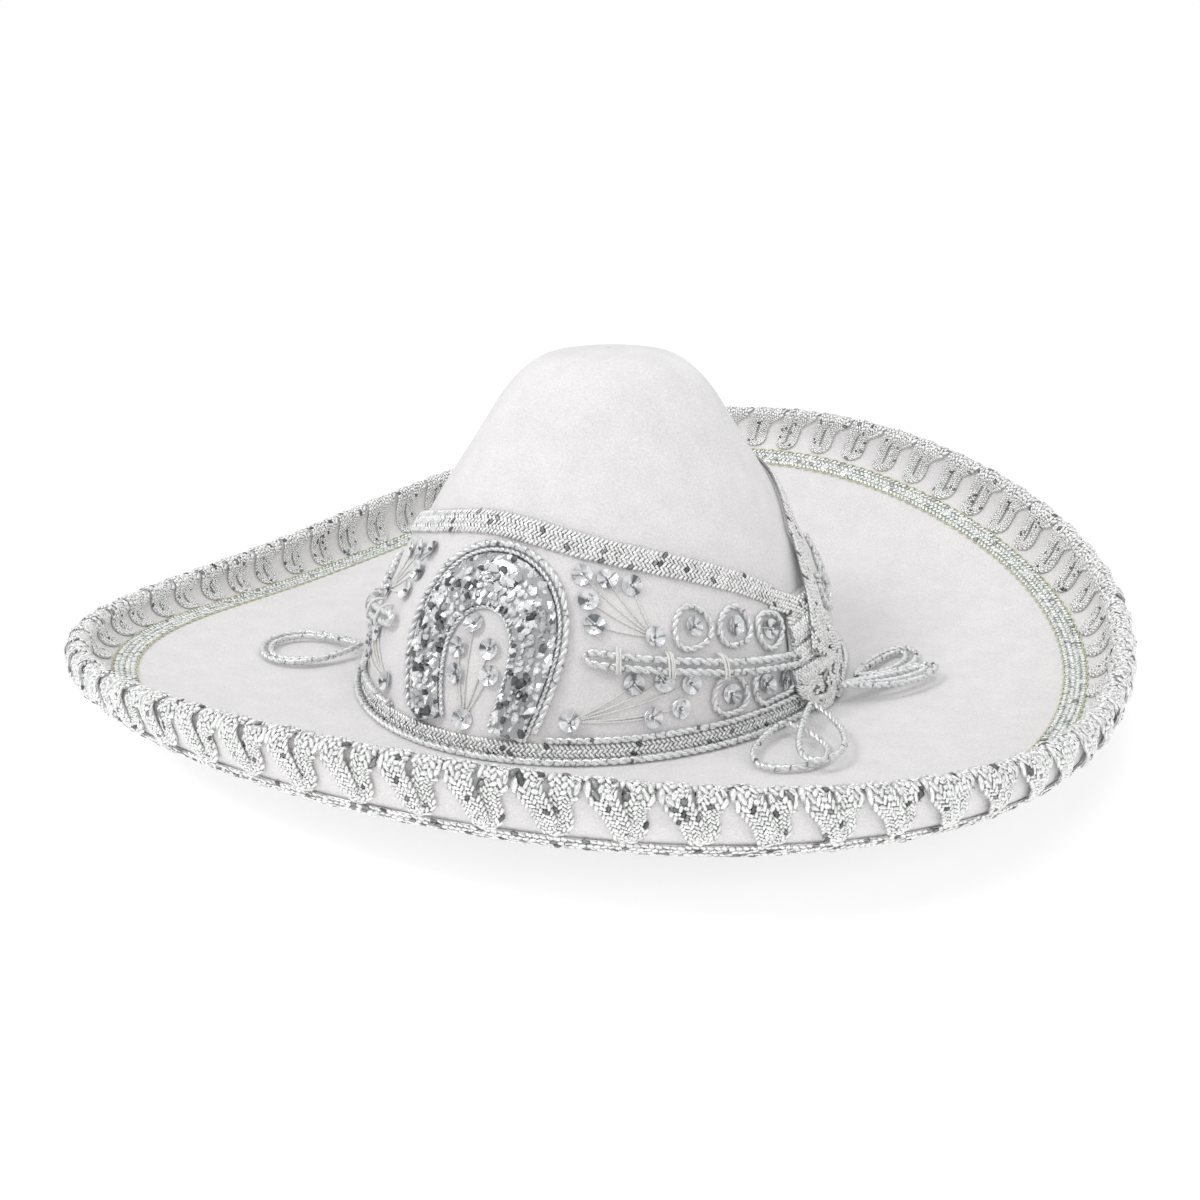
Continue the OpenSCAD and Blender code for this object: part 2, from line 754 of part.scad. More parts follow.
// The two strands end in one knot
module chin_cord_knot() {
  knot_r = 4;
  color("white") translate([0, strand_to + knot_r + gap, strand_z]) difference() {
    sphere(knot_r);
    rotate([90, 0, 0]) cylinder(h = knot_r + 1, r = 0.8);
  }
}

// A barrel slider running on both strands
module chin_slider() {
  start = strand_from + 4;
  color("dimgray") translate([0, start + slider_half, strand_z]) rotate([-90, 0, 0]) difference() {
    cylinder(h = 2 * slider_half, r = slider_r, center = true);
    for (side = [-1, 1])
      translate([side * strand_x, 0, 0]) cylinder(h = 2 * slider_half + 2, r = slider_bore_r, center = true);
  }
}

crown_shell();
crown_velvet();
crown_lining();
sweatband();
opening_binding();
brim_core();
brim_top_velvet();
brim_under_velvet();
rim_wire();
rim_scroll_braid();
rim_lower_braid();
brim_sequin_ribbon();
front_band_panel();
back_band_panel();
front_band_braid();
back_band_braid();
base_braid();
base_cord();
horseshoe_pad();
horseshoe_bullion();
horseshoe_edge_cords();
horseshoe_outer_cord();
horseshoe_sequins();
spray_sequins_right();
spray_sequins_left();
back_sequins();
spray_threads();
rosette_cords();
rosette_sequins();
mid_cord_right();
mid_cord_left();
lower_cord_right();
lower_cord_left();
thread_ties();
side_knot_right();
side_knot_left();
right_front_loops();
right_back_loops();
left_front_loops();
left_back_loops();
chin_cord();
chin_cord_tabs();
chin_cord_knot();
chin_slider();
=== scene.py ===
"""Looks of a white velvet dress sombrero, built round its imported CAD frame.

Lengths are in millimetres until a mesh is made, when they become metres. Angles are in degrees.
Angles round the hat count from the front (-Y) towards +X; heights on the crown count from its foot.
Trim is drawn flat, as (along, across, up), and then wrapped onto the crown or the rim.
"""

import math

import bpy
import numpy as np
from mathutils import Euler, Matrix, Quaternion, Vector


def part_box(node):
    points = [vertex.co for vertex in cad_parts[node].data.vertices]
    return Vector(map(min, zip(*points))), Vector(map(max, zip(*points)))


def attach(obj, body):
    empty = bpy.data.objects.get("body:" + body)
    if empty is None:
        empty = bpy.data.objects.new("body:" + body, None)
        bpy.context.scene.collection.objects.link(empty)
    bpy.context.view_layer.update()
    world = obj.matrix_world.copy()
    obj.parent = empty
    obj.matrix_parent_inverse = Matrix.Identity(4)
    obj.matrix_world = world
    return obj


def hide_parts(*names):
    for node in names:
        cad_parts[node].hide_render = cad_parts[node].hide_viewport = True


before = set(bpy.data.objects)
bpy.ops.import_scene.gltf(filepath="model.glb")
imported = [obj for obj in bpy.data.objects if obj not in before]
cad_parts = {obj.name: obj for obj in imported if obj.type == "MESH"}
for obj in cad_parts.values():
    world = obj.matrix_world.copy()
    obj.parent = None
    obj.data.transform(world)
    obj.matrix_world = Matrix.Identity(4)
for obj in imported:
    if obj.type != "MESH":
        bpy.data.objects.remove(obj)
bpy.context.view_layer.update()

MM = 0.001
rng = np.random.default_rng(7)

# ---------- Sizes, from the frame and the design it was built from ----------

crown_low, crown_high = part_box("crown_velvet")
FOOT_Z = crown_low.z / MM
CROWN_HALF_W = crown_high.x / MM
CROWN_CAP = 0.997  # share of the crown's height at which the frame's crown is cut flat
CROWN_H = (crown_high.z / MM - FOOT_Z) / CROWN_CAP
CROWN_RATIO = 1.155
CROWN_RATIO_DROP = 0.06
CROWN_LEAN = 1.5
CROWN_KEYS = [(1, 0), (0.965, 0.14), (0.905, 0.277), (0.785, 0.454), (0.664, 0.608),
              (0.536, 0.754), (0.415, 0.89), (0.285, 0.973), (0.14, 0.997), (0, 1)]

SEAT_Z = FOOT_Z - 0.1
LIP_FOOT_R = 191
LIP_RUN = 16.8
LIP_PULL_OUT = 0.65
LIP_PULL_UP = 0.3
BRIM_RATIO = 0.972
BRIM_BULGE = 0.024
BRIM_RISE_POWER = 1.5
SEAM_W = 8
# Height of the lip's foot and top round the hat: mean, then three cosine and three sine parts
LIP_FOOT_WAVES = (19.3, (-12.3, 15, -5), (1.2, -0.6, -0.8))
LIP_TOP_WAVES = (38.2, (-15.6, 18.9, -3.1), (2.3, 1.3, 0))

# Thicknesses of the layers, and heights off the crown's velvet at which trim lies
VELVET_T = 1.3
BRIM_STACK = 4.6
CROWN_STACK = 3.9
ON_PANEL = 1.5
UNDER_BRAID = 1.85
BRAID_W = 7.5
FRONT_PEAK = 80
FRONT_TURN = -3
FRONT_ROUND = 14
BACK_PEAK = 85
PANEL_END = 79
BASE_BRAID_H = 6.4
CORD_R = 1.3
EDGE_CORD_R = 0.7
SEQUIN_R = 3.9
THREAD_R = 0.3

# Horseshoe: half widths and heights of its middle line, then its band
SHOE_HALF_W = 21
SHOE_FOOT_HALF_W = 16.2
SHOE_TOP = 58.8
SHOE_MID = 35
SHOE_FOOT = 9
SHOE_BAND_W = 17
SHOE_FOOT_W = 12.6
SHOE_RAISE = 4.6
SHOE_CENTRE = 2.2

# Sequins and rosettes as (angle, height); the first sequin of a spray is where its threads start
SHOE_SPRAY = [(1.6, 11.8), (-0.2, 43.6), (-2.8, 35.4), (5.6, 36.6), (6.7, 28), (-2, 26.8)]
UPPER_SPRAY = [(43.5, 41), (26, 61.8), (32.4, 60.2), (38.6, 58), (27.8, 53.8), (29.6, 46)]
LOWER_SPRAY = [(25.4, 14.5), (38.6, 26.4), (45, 26.2), (51, 24.2), (48.4, 16.4), (42.4, 14.4)]
UPPER_ROSETTES = [(53, 42.6), (64, 40.2), (74, 35.6)]
LOWER_ROSETTES = [(60.4, 17.6), (70.2, 17), (75.8, 16.4)]
ROSETTE_R = 6


def sind(a):
    return np.sin(np.radians(a))


def cosd(a):
    return np.cos(np.radians(a))


def stack(*parts):
    return np.stack(np.broadcast_arrays(*parts), axis=-1)


def unit(v):
    return v / np.maximum(np.linalg.norm(v, axis=-1, keepdims=True), 1e-9)


def smooth_curve(points, per_span=8, closed=False):
    """Catmull-Rom curve through points; any number of coordinates per point."""
    p = np.asarray(points, float)
    if closed:
        ends = p[np.arange(-1, len(p) + 2) % len(p)]
    else:
        ends = np.vstack([2 * p[0] - p[1], p, 2 * p[-1] - p[-2]])
    t = np.linspace(0, 1, per_span, endpoint=False)[:, None]
    pieces = []
    for i in range(len(ends) - 3):
        a, b, c, d = ends[i:i + 4]
        pieces.append(0.5 * (2 * b + (c - a) * t + (2 * a - 5 * b + 4 * c - d) * t ** 2
                             + (3 * b - a - 3 * c + d) * t ** 3))
    if not closed:
        pieces.append(p[-1:])
    return np.vstack(pieces)


def even_steps(path, step, closed=False):
    """The same path in equal steps, at least four of them."""
    p = np.vstack([path, path[:1]]) if closed else path
    run = np.concatenate([[0], np.cumsum(np.linalg.norm(np.diff(p, axis=0), axis=1))])
    count = max(4, int(round(run[-1] / step)))
    at = np.linspace(0, run[-1], count + 1)
    out = np.stack([np.interp(at, run, p[:, k]) for k in range(p.shape[1])], axis=-1)
    return out[:-1] if closed else out


# ---------- Crown surface ----------

# The curve runs on past the top to the mirrored last key, so that it is level there
past_top = (-CROWN_KEYS[-2][0], CROWN_KEYS[-2][1])
CROWN_PROFILE = smooth_curve(np.array(CROWN_KEYS + [past_top]) * (CROWN_HALF_W, CROWN_H), 10)[:-10]
CROWN_PROFILE[-1] = (0, CROWN_H)


def crown_r(z):
    return np.interp(z, CROWN_PROFILE[:, 1], CROWN_PROFILE[:, 0])


def crown_map(th, r, z):
    ratio = CROWN_RATIO - CROWN_RATIO_DROP * z / CROWN_H
    return stack(r * sind(th), -r * ratio * cosd(th) + CROWN_LEAN * z / CROWN_H, FOOT_Z + z)


def on_crown(th, z, off):
    return crown_map(th, crown_r(z) + off, z)


def crown_axes(th, z):
    """Along, up and out directions at a place on the crown."""
    along = unit(on_crown(th + 0.5, z, 0) - on_crown(th - 0.5, z, 0))
    up = unit(on_crown(th, z + 0.5, 0) - on_crown(th, z - 0.5, 0))
    return along, up, unit(np.cross(along, up))


# ---------- Brim surface ----------

def waves(th, parts):
    total, cosines, sines = parts[0] + 0 * th, parts[1], parts[2]
    for k in range(3):
        total = total + cosines[k] * cosd((k + 1) * th) + sines[k] * sind((k + 1) * th)
    return total


def ring_xy(th, r):
    return stack(sind(th), -BRIM_RATIO * cosd(th)) * (r * (1 - BRIM_BULGE * cosd(4 * th)))[..., None]


def foot_xy(th):
    return CROWN_HALF_W * stack(sind(th), -CROWN_RATIO * cosd(th))


def brim_reach(th):
    return np.linalg.norm(ring_xy(th, LIP_FOOT_R + 0 * th) - foot_xy(th), axis=-1)


def brim_at(th, t):
    """Section point [outward, height] of the brim at share t from its flat seam to the lip."""
    reach = brim_reach(th)
    height = waves(th, LIP_FOOT_WAVES) * np.maximum(t, 0) ** BRIM_RISE_POWER
    return stack(SEAM_W + (reach - SEAM_W) * t, height)


def lip_at(th, w):
    """Section point of the lip at share w of its curve, from its foot to its top."""
    reach = brim_reach(th)
    foot = waves(th, LIP_FOOT_WAVES)
    rise = waves(th, LIP_TOP_WAVES) - foot
    slope = BRIM_RISE_POWER * foot / (reach - SEAM_W)
    pull = LIP_RUN * LIP_PULL_OUT
    p = [stack(reach, foot), stack(reach + pull, foot + slope * pull),
         stack(reach + LIP_RUN, foot + rise * LIP_PULL_UP), stack(reach + LIP_RUN, foot + rise)]
    w = np.asarray(w)[..., None]
    return p[0] * (1 - w) ** 3 + p[1] * 3 * w * (1 - w) ** 2 + p[2] * 3 * w * w * (1 - w) + p[3] * w ** 3


def section_normal(before, after):
    c = unit(after - before)
    return stack(-c[..., 1], c[..., 0])


def lip_normal(th, w):
    return section_normal(lip_at(th, np.maximum(w - 0.02, 0)), lip_at(th, np.minimum(w + 0.02, 1)))


def brim_normal(th, t):
    return section_normal(brim_at(th, t - 0.01), brim_at(th, t + 0.01))


def brim_map(th, section):
    base = foot_xy(th)
    out = unit(ring_xy(th, LIP_FOOT_R + 0 * th) - base)
    at = base + section[..., :1] * out
    return stack(at[..., 0], at[..., 1], SEAT_Z + section[..., 1])


def on_brim(th, s, off):
    t = (s - SEAM_W) / (brim_reach(th) - SEAM_W)
    return brim_map(th, brim_at(th, t) + off[..., None] * brim_normal(th, t))


class Rim:
    """The lip's skin unrolled: x runs along it, y is 0 on its top, below 0 inside and above 0 outside."""

    STATIONS = 720
    REACH = 46
    STEP = 0.5
    SHARES = np.linspace(0, 1, 40)
    EDGE_RISE = 2.6
    EDGE_STEPS = 11

    def __init__(self):
        self.th = np.arange(self.STATIONS) * 360 / self.STATIONS
        self.y = np.arange(-self.REACH, self.REACH + self.STEP, self.STEP)
        half = BRIM_STACK / 2
        turn = np.linspace(0, 180, self.EDGE_STEPS + 2)[1:-1]
        t = np.linspace(0.8, 0.99, 12)
        lines, normals, inner_runs, outer_runs = [], [], [], []
        for th in self.th:
            inside = np.vstack([brim_at(th, t), lip_at(th, self.SHARES)])
            side = np.vstack([brim_normal(th, t), lip_normal(th, self.SHARES)])
            centre = inside[-1] - half * side[-1]
            edge = centre + stack(-half * cosd(turn), self.EDGE_RISE * sind(turn))
            edge_normal = unit(stack(-cosd(turn) / half, sind(turn) / self.EDGE_RISE))
            line = np.vstack([inside, edge, (inside - BRIM_STACK * side)[::-1]])
            normal = np.vstack([side, edge_normal, -side[::-1]])
            run = np.concatenate([[0], np.cumsum(np.linalg.norm(np.diff(line, axis=0), axis=1))])
            run = run - run[len(inside) + self.EDGE_STEPS // 2]
            lines.append(stack(*[np.interp(self.y, run, line[:, k]) for k in (0, 1)]))
            normals.append(stack(*[np.interp(self.y, run, normal[:, k]) for k in (0, 1)]))
            inner_runs.append(run[len(t):len(inside)])
            outside = len(inside) + self.EDGE_STEPS
            outer_runs.append(run[outside:outside + len(self.SHARES)][::-1])
        self.line, self.normal = np.array(lines), unit(np.array(normals))
        self.inner_runs, self.outer_runs = np.array(inner_runs), np.array(outer_runs)
        top = brim_map(self.th, self.line[:, int(self.REACH / self.STEP)])
        steps = np.linalg.norm(np.roll(top, -1, axis=0) - top, axis=1)
        self.run = np.concatenate([[0], np.cumsum(steps)])
        self.length = self.run[-1]

    def angle(self, x):
        return np.interp(np.mod(x, self.length), self.run, np.append(self.th, 360.0))

    def y_at(self, th, w, outside=False):
        """How far from the rim's top the lip's section share w is, inside or outside."""
        column = int(round(w * (len(self.SHARES) - 1)))
        table = (self.outer_runs if outside else self.inner_runs)[:, column]
        return np.interp(np.mod(th, 360), np.append(self.th, 360.0), np.append(table, table[0]))

    def place(self, th, y, off):
        th, y, off = np.broadcast_arrays(th, y, off)
        i = np.mod(th, 360) / 360 * self.STATIONS
        j = np.clip((y + self.REACH) / self.STEP, 0, len(self.y) - 1.001)
        i0, j0 = np.floor(i).astype(int), np.floor(j).astype(int)
        fi, fj = (i - i0)[..., None], (j - j0)[..., None]
        i0, i1 = i0 % self.STATIONS, (i0 + 1) % self.STATIONS

        def blend(table):
            return ((table[i0, j0] * (1 - fj) + table[i0, j0 + 1] * fj) * (1 - fi)
                    + (table[i1, j0] * (1 - fj) + table[i1, j0 + 1] * fj) * fi)
        return brim_map(th, blend(self.line) + off[..., None] * blend(self.normal))

    def wrap(self, p):
        """Flat (x, y, up) points to places on the lip."""
        return self.place(self.angle(p[..., 0]), p[..., 1], p[..., 2])


rim = Rim()


# ---------- Mesh building ----------

class Shape:
    """One visible piece on its body: closed parts, with a tone per vertex for its material."""

    drawn = []

    def __init__(self, name, material, slot, body="hat", smooth=True):
        self.drawn.append(self)
        self.name, self.material, self.slot, self.body, self.smooth = name, material, slot, body, smooth
        self.verts, self.faces, self.tones, self.count = [], [], [], 0

    def add(self, verts, faces, tone=0.5):
        """Adds closed parts of one kind, turning their faces outwards."""
        verts = np.asarray(verts, float).reshape(-1, 3)
        volume = 0.0
        for f in faces:
            for k in range(1, f.shape[1] - 1):
                a, b, c = verts[f[:, 0]], verts[f[:, k]], verts[f[:, k + 1]]
                volume += np.einsum("ij,ij->", a, np.cross(b, c))
        for f in faces:
            self.faces.append((f if volume >= 0 else f[:, ::-1]) + self.count)
        self.verts.append(verts)
        self.tones.append(np.broadcast_to(np.asarray(tone, float), (len(verts),)))
        self.count += len(verts)

    def make_object(self):
        """Makes the Blender object; it stands for the CAD node of its name, if there is one."""
        sizes = np.concatenate([np.full(len(f), f.shape[1]) for f in self.faces])
        corners = np.concatenate([f.ravel() for f in self.faces])
        starts = np.concatenate([[0], np.cumsum(sizes)[:-1]])
        mesh = bpy.data.meshes.new(self.name)
        mesh.vertices.add(self.count)
        mesh.vertices.foreach_set("co", (np.vstack(self.verts) * MM).astype(np.float32).ravel())
        mesh.loops.add(len(corners))
        mesh.loops.foreach_set("vertex_index", corners.astype(np.int32))
        mesh.polygons.add(len(sizes))
        mesh.polygons.foreach_set("loop_start", starts.astype(np.int32))
        mesh.polygons.foreach_set("use_smooth", np.full(len(sizes), self.smooth))
        mesh.update(calc_edges=True)
        mesh.validate()
        tone = mesh.attributes.new("tone", "FLOAT", "POINT")
        tone.data.foreach_set("value", np.concatenate(self.tones).astype(np.float32))
        mesh.materials.append(self.material)
        piece = bpy.data.objects.new(self.name, mesh)
        bpy.context.scene.collection.objects.link(piece)
        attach(piece, self.body)
        if self.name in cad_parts:
            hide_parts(self.name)


def grid_faces(rows, cols, wrap_rows=False, wrap_cols=False):
    i = np.arange(rows if wrap_rows else rows - 1)[:, None]
    j = np.arange(cols if wrap_cols else cols - 1)[None, :]
    a = i * cols + j
    b = ((i + 1) % rows) * cols + j
    c = ((i + 1) % rows) * cols + (j + 1) % cols
    d = i * cols + (j + 1) % cols
    return np.stack([a, b, c, d], -1).reshape(-1, 4)


def add_shell(shape, outer, inner, closed=True, tone=0.5):
    """A thin closed sheet between two grids of points; closed joins its last row to its first."""
    rows, cols = outer.shape[:2]
    n = rows * cols
    sheet = grid_faces(rows, cols, closed)
    faces = [sheet[:, ::-1], sheet + n]
    i = np.arange(rows if closed else rows - 1) * cols
    k = (i + cols) % n
    for j, step in ((0, 1), (cols - 1, -1)):
        faces.append(np.stack([i + j, k + j, n + k + j, n + i + j], -1)[:, ::step])
    if not closed:
        j = np.arange(cols - 1)
        for i, step in ((0, -1), (n - cols, 1)):
            faces.append(np.stack([i + j, i + j + 1, n + i + j + 1, n + i + j], -1)[:, ::step])
    shape.add(np.vstack([outer.reshape(-1, 3), inner.reshape(-1, 3)]), faces, tone)


def path_frames(path, closed):
    """Tangent, side and over directions along a path, without sudden turns."""
    ahead = np.roll(path, -1, axis=0)
    behind = np.roll(path, 1, axis=0)
    if not closed:
        ahead[-1], behind[0] = path[-1], path[0]
    tangent = unit(ahead - behind)
    side = np.zeros_like(path)
    side[0] = unit(np.cross(tangent[0], (0, 0, 1) if abs(tangent[0][2]) < 0.9 else (1, 0, 0)))
    for i in range(1, len(path)):
        side[i] = unit(side[i - 1] - tangent[i] * (side[i - 1] @ tangent[i]))
    if closed:
        # Spread the mismatch where the ends meet over the whole path
        last = unit(side[-1] - tangent[0] * (side[-1] @ tangent[0]))
        over = np.cross(tangent[0], side[0])
        gap = math.atan2(last @ over, last @ side[0])
        a = -gap * np.arange(len(path)) / len(path)
        across = np.cross(tangent, side)
        side = side * np.cos(a)[:, None] + across * np.sin(a)[:, None]
    return tangent, side, np.cross(tangent, side)


def add_tube(shape, path, radius, sides=6, closed=False, tone=0.5):
    _, side, over = path_frames(path, closed)
    a = np.arange(sides) * 360 / sides
    radius = np.broadcast_to(np.asarray(radius, float), (len(path),))[:, None, None]
    ring = side[:, None] * cosd(a)[None, :, None] + over[:, None] * sind(a)[None, :, None]
    points = path[:, None] + radius * ring
    faces = [grid_faces(len(path), sides, closed, True)]
    if not closed:
        faces += [np.arange(sides)[None, ::-1], (len(path) - 1) * sides + np.arange(sides)[None]]
    shape.add(points, faces, np.repeat(tone, sides) if np.size(tone) == len(path) else tone)


ROPE_TWIST = 5.2  # length of one turn, in rope radii
ROPE_STEPS = 9  # stations in one turn
PLY_OFFSET = 0.46
PLY_R = 0.62
# Dark flecks on the ropes are painted dark reflections: this share of stations gets the tone DARK_FLECK
ROPE_DARK_SHARE = 0.07
DARK_FLECK = 0.04


def add_rope(shape, path, radius, closed=False, plies=2):
    """Plies wound round each other, with random tones of the metal and dark flecks painted among them as
    dark reflections.
    """
    path = even_steps(path, ROPE_TWIST * radius / ROPE_STEPS, closed)
    _, side, over = path_frames(path, closed)
    turns = len(path) / ROPE_STEPS
    if closed:
        turns = max(1, round(turns * plies) / plies)
    for k in range(plies):
        a = 360 * (turns * np.arange(len(path)) / len(path) + k / plies)
        ply = path + PLY_OFFSET * radius * (side * cosd(a)[:, None] + over * sind(a)[:, None])
        tone = 0.35 + 0.5 * rng.random(len(path))
        tone[rng.random(len(path)) < ROPE_DARK_SHARE] = DARK_FLECK
        add_tube(shape, ply, radius * PLY_R, 6, closed, tone)


def grain_template():
    """A short faceted strand, one unit long, wide and high."""
    ring = [(0.5, 0.1), (0, 0.5), (-0.5, 0.1), (0, -0.4)]
    points = [(-0.5, 0, 0)] + [(a, y, z) for a in (-0.24, 0.24) for y, z in ring] + [(0.5, 0, 0)]
    near = [(0, 1 + (k + 1) % 4, 1 + k) for k in range(4)]
    far = [(9, 5 + k, 5 + (k + 1) % 4) for k in range(4)]
    sides = [(1 + k, 1 + (k + 1) % 4, 5 + (k + 1) % 4, 5 + k) for k in range(4)]
    return np.array(points, float), np.array(near + far), np.array(sides)


GRAIN, GRAIN_TRIS, GRAIN_QUADS = grain_template()
# Random spread of each strand: turn and roll in degrees, share of its size, height
GRAIN_TURN = 4
GRAIN_ROLL = 12
GRAIN_SCALE = 0.06
GRAIN_HEIGHT = 0.1


def add_copies(shape, points, tris, quads, wrapped, tones):
    """Adds many copies of a template; wrapped holds one copy of its points per row."""
    start = (np.arange(len(wrapped)) * len(points))[:, None, None]
    faces = [(part[None] + start).reshape(-1, part.shape[1]) for part in (tris, quads) if len(part)]
    shape.add(wrapped, faces, np.repeat(tones, len(points)))


def grain_tones(n, dark, bright):
    """A tone per strand, varying at random; dark and bright are the shares of very dark and very bright
    ones, and the very dark ones are painted dark reflections.
    """
    tone = 0.3 + 0.4 * rng.random(n)
    pick = rng.random(n)
    tone[pick < dark] = 0.02 + 0.08 * rng.random((pick < dark).sum())
    tone[pick > 1 - bright] = 0.85 + 0.15 * rng.random((pick > 1 - bright).sum())
    return tone


def add_grains(shape, wrap, length, half_w, lift, columns, pitch, size, tilt, dark, bright):
    """Rows of strands along a flat strip, with every other column tilted the other way.

    lift is the height of the strands' middles, or a function of their place across the strip.
    """
    column = np.arange(columns)[None]
    odd = column % 2
    s = (np.arange(int(length / pitch))[:, None] + odd / 2) * pitch
    c = np.broadcast_to(-half_w + 2 * half_w / columns * (column + 0.5), s.shape)
    sign = np.broadcast_to(1 - 2 * odd, s.shape)
    s, c, sign = s.ravel(), c.ravel(), sign.ravel()
    n = len(s)
    a = sign * tilt + rng.normal(0, GRAIN_TURN, n)
    scale = np.array(size) * (1 + rng.normal(0, GRAIN_SCALE, (n, 3)))
    local = GRAIN[None] * scale[:, None]
    roll = rng.normal(0, GRAIN_ROLL, n)
    y = local[..., 1] * cosd(roll)[:, None] - local[..., 2] * sind(roll)[:, None]
    z = local[..., 1] * sind(roll)[:, None] + local[..., 2] * cosd(roll)[:, None]
    along = local[..., 0] * cosd(a)[:, None] - y * sind(a)[:, None]
    across = local[..., 0] * sind(a)[:, None] + y * cosd(a)[:, None]
    flat = stack(s[:, None] + along, c[:, None] + across, 0 * along)
    height = lift(flat[..., 1]) if callable(lift) else lift
    flat[..., 2] = height + z + rng.normal(0, GRAIN_HEIGHT, (n, 1))
    add_copies(shape, GRAIN, GRAIN_TRIS, GRAIN_QUADS, wrap(flat), grain_tones(n, dark, bright))


SLAB_STEP = 1.2


def add_slab(shape, wrap, s, half_w, low, high, closed, tone, columns=4):
    """The backing of a flat braid: a slightly rounded strip."""
    c = np.linspace(-1, 1, columns + 1)
    hw = np.broadcast_to(half_w, s.shape)[:, None]
    top = stack(s[:, None] + 0 * c, c * hw, low + (high - low) * (1 - 0.35 * c ** 2) + 0 * hw)
    bottom = stack(s[:, None] + 0 * c, c * hw, low + 0 * c * hw)
    add_shell(shape, wrap(top), wrap(bottom), closed, tone)


class Track:
    """A line of flat places on a surface; (along, across, up) beside it goes to 3-D.

    Each place is (u, v), then the line's height there and the spread of its width, if given.
    """

    STEP = 0.6

    def __init__(self, points, place, closed=False, period=0.0):
        p = np.asarray(points, float)
        if p.shape[1] == 2:
            p = np.column_stack([p, np.zeros(len(p))])
        if p.shape[1] == 3:
            p = np.column_stack([p, np.ones(len(p))])
        if closed:
            p = np.vstack([p, p[:1] + (period, 0, 0, 0)])
        self.place, self.closed = place, closed
        # How long one unit of u is on the surface
        nudge = 0.1
        here = place(stack(p[:, 0], p[:, 1], 0 * p[:, 0]))
        beside = place(stack(p[:, 0] + nudge, p[:, 1], 0 * p[:, 0]))
        per_u = np.linalg.norm(beside - here, axis=1) / nudge
        gaps = np.hypot(np.diff(p[:, 0]) * (per_u[1:] + per_u[:-1]) / 2, np.diff(p[:, 1]))
        run = np.concatenate([[0], np.cumsum(gaps)])
        self.length = run[-1]
        self.s = np.linspace(0, self.length, max(8, int(self.length / self.STEP)))
        known = [np.interp(self.s, run, column) for column in (*p.T, per_u)]
        self.u, self.v, self.up, self.spread, self.per_u = known
        du, dv = np.gradient(self.u) * self.per_u, np.gradient(self.v)
        if closed:
            for d in (du, dv):
                d[0] = d[-1] = (d[1] + d[-2]) / 2
        size = np.maximum(np.hypot(du, dv), 1e-9)
        self.nu, self.nv = -dv / size, du / size

    def __call__(self, flat):
        s = np.mod(flat[..., 0], self.length) if self.closed else flat[..., 0]
        known = (self.u, self.v, self.up, self.spread, self.per_u, self.nu, self.nv)
        u, v, up, spread, per_u, nu, nv = [np.interp(s, self.s, values) for values in known]
        across = flat[..., 1] * spread
        return self.place(stack(u + across * nu / per_u, v + across * nv, flat[..., 2] + up))


def crown_place(p):
    return on_crown(p[..., 0], np.clip(p[..., 1], 0, CROWN_H - 2), p[..., 2])


def front_place(p):
    """Flat places (mm across the horseshoe, height, up) on the front of the crown."""
    z = np.clip(p[..., 1], 0.5, CROWN_H - 20)
    th = np.degrees(np.arcsin(np.clip(p[..., 0] / crown_r(z), -1, 1))) + SHOE_CENTRE
    return on_crown(th, z, p[..., 2])


def add_braid(shape, track, half_w, low, thick, ground=0.14, **weave):
    """A flat woven braid along a track: a backing, of tone ground, under rows of bright strands; a dark
    ground is painted shade in the gaps between strands.
    """
    count = int(track.length / SLAB_STEP)
    s = np.linspace(0, track.length, count, endpoint=not track.closed)
    # The backing's tone ground, dark by default, is painted shade seen in the gaps between the strands
    add_slab(shape, track, s, half_w * 0.84, low, low + thick * 0.55, track.closed, ground)

    def lift(across):
        return low + thick * (0.78 - 0.3 * (across / half_w) ** 2)
    add_grains(shape, track, track.length, half_w, lift, **weave)


# How braids and the ribbon are woven: columns and pitch of the strands, their (length, width, height) and
# tilt, the shares of very dark strands (painted dark reflections) and very bright ones, and the tone of
# the ground if it isn't the dark one that paints shade in the gaps
SCROLL_WEAVE = dict(columns=5, pitch=1.45, size=(2.3, 1.2, 1), tilt=45, dark=0.035, bright=0.6,
                    ground=0.45)
LOWER_WEAVE = dict(columns=4, pitch=2.0, size=(2.6, 1.7, 0.5), tilt=22, dark=0.1, bright=0.8, ground=0.9)
RIBBON_WEAVE = dict(columns=4, pitch=2.3, size=(3.0, 2.1, 0.7), tilt=42, dark=0.05, bright=0.6)
BAND_WEAVE = dict(columns=5, pitch=1.7, size=(2.9, 1.4, 0.9), tilt=50, dark=0.035, bright=0.6)
BASE_WEAVE = dict(columns=4, pitch=1.8, size=(3.0, 1.5, 0.6), tilt=48, dark=0.03, bright=0.85, ground=0.6)
STRAP_WEAVE = dict(pitch=1.5, size=(2.6, 1.4, 1.1), tilt=48, dark=0.045, bright=0.65)
FILLING_WEAVE = dict(columns=15, pitch=1.5, size=(2.6, 1.5, 1.6), tilt=50, dark=0.05, bright=0.65)


# ---------- Materials ----------

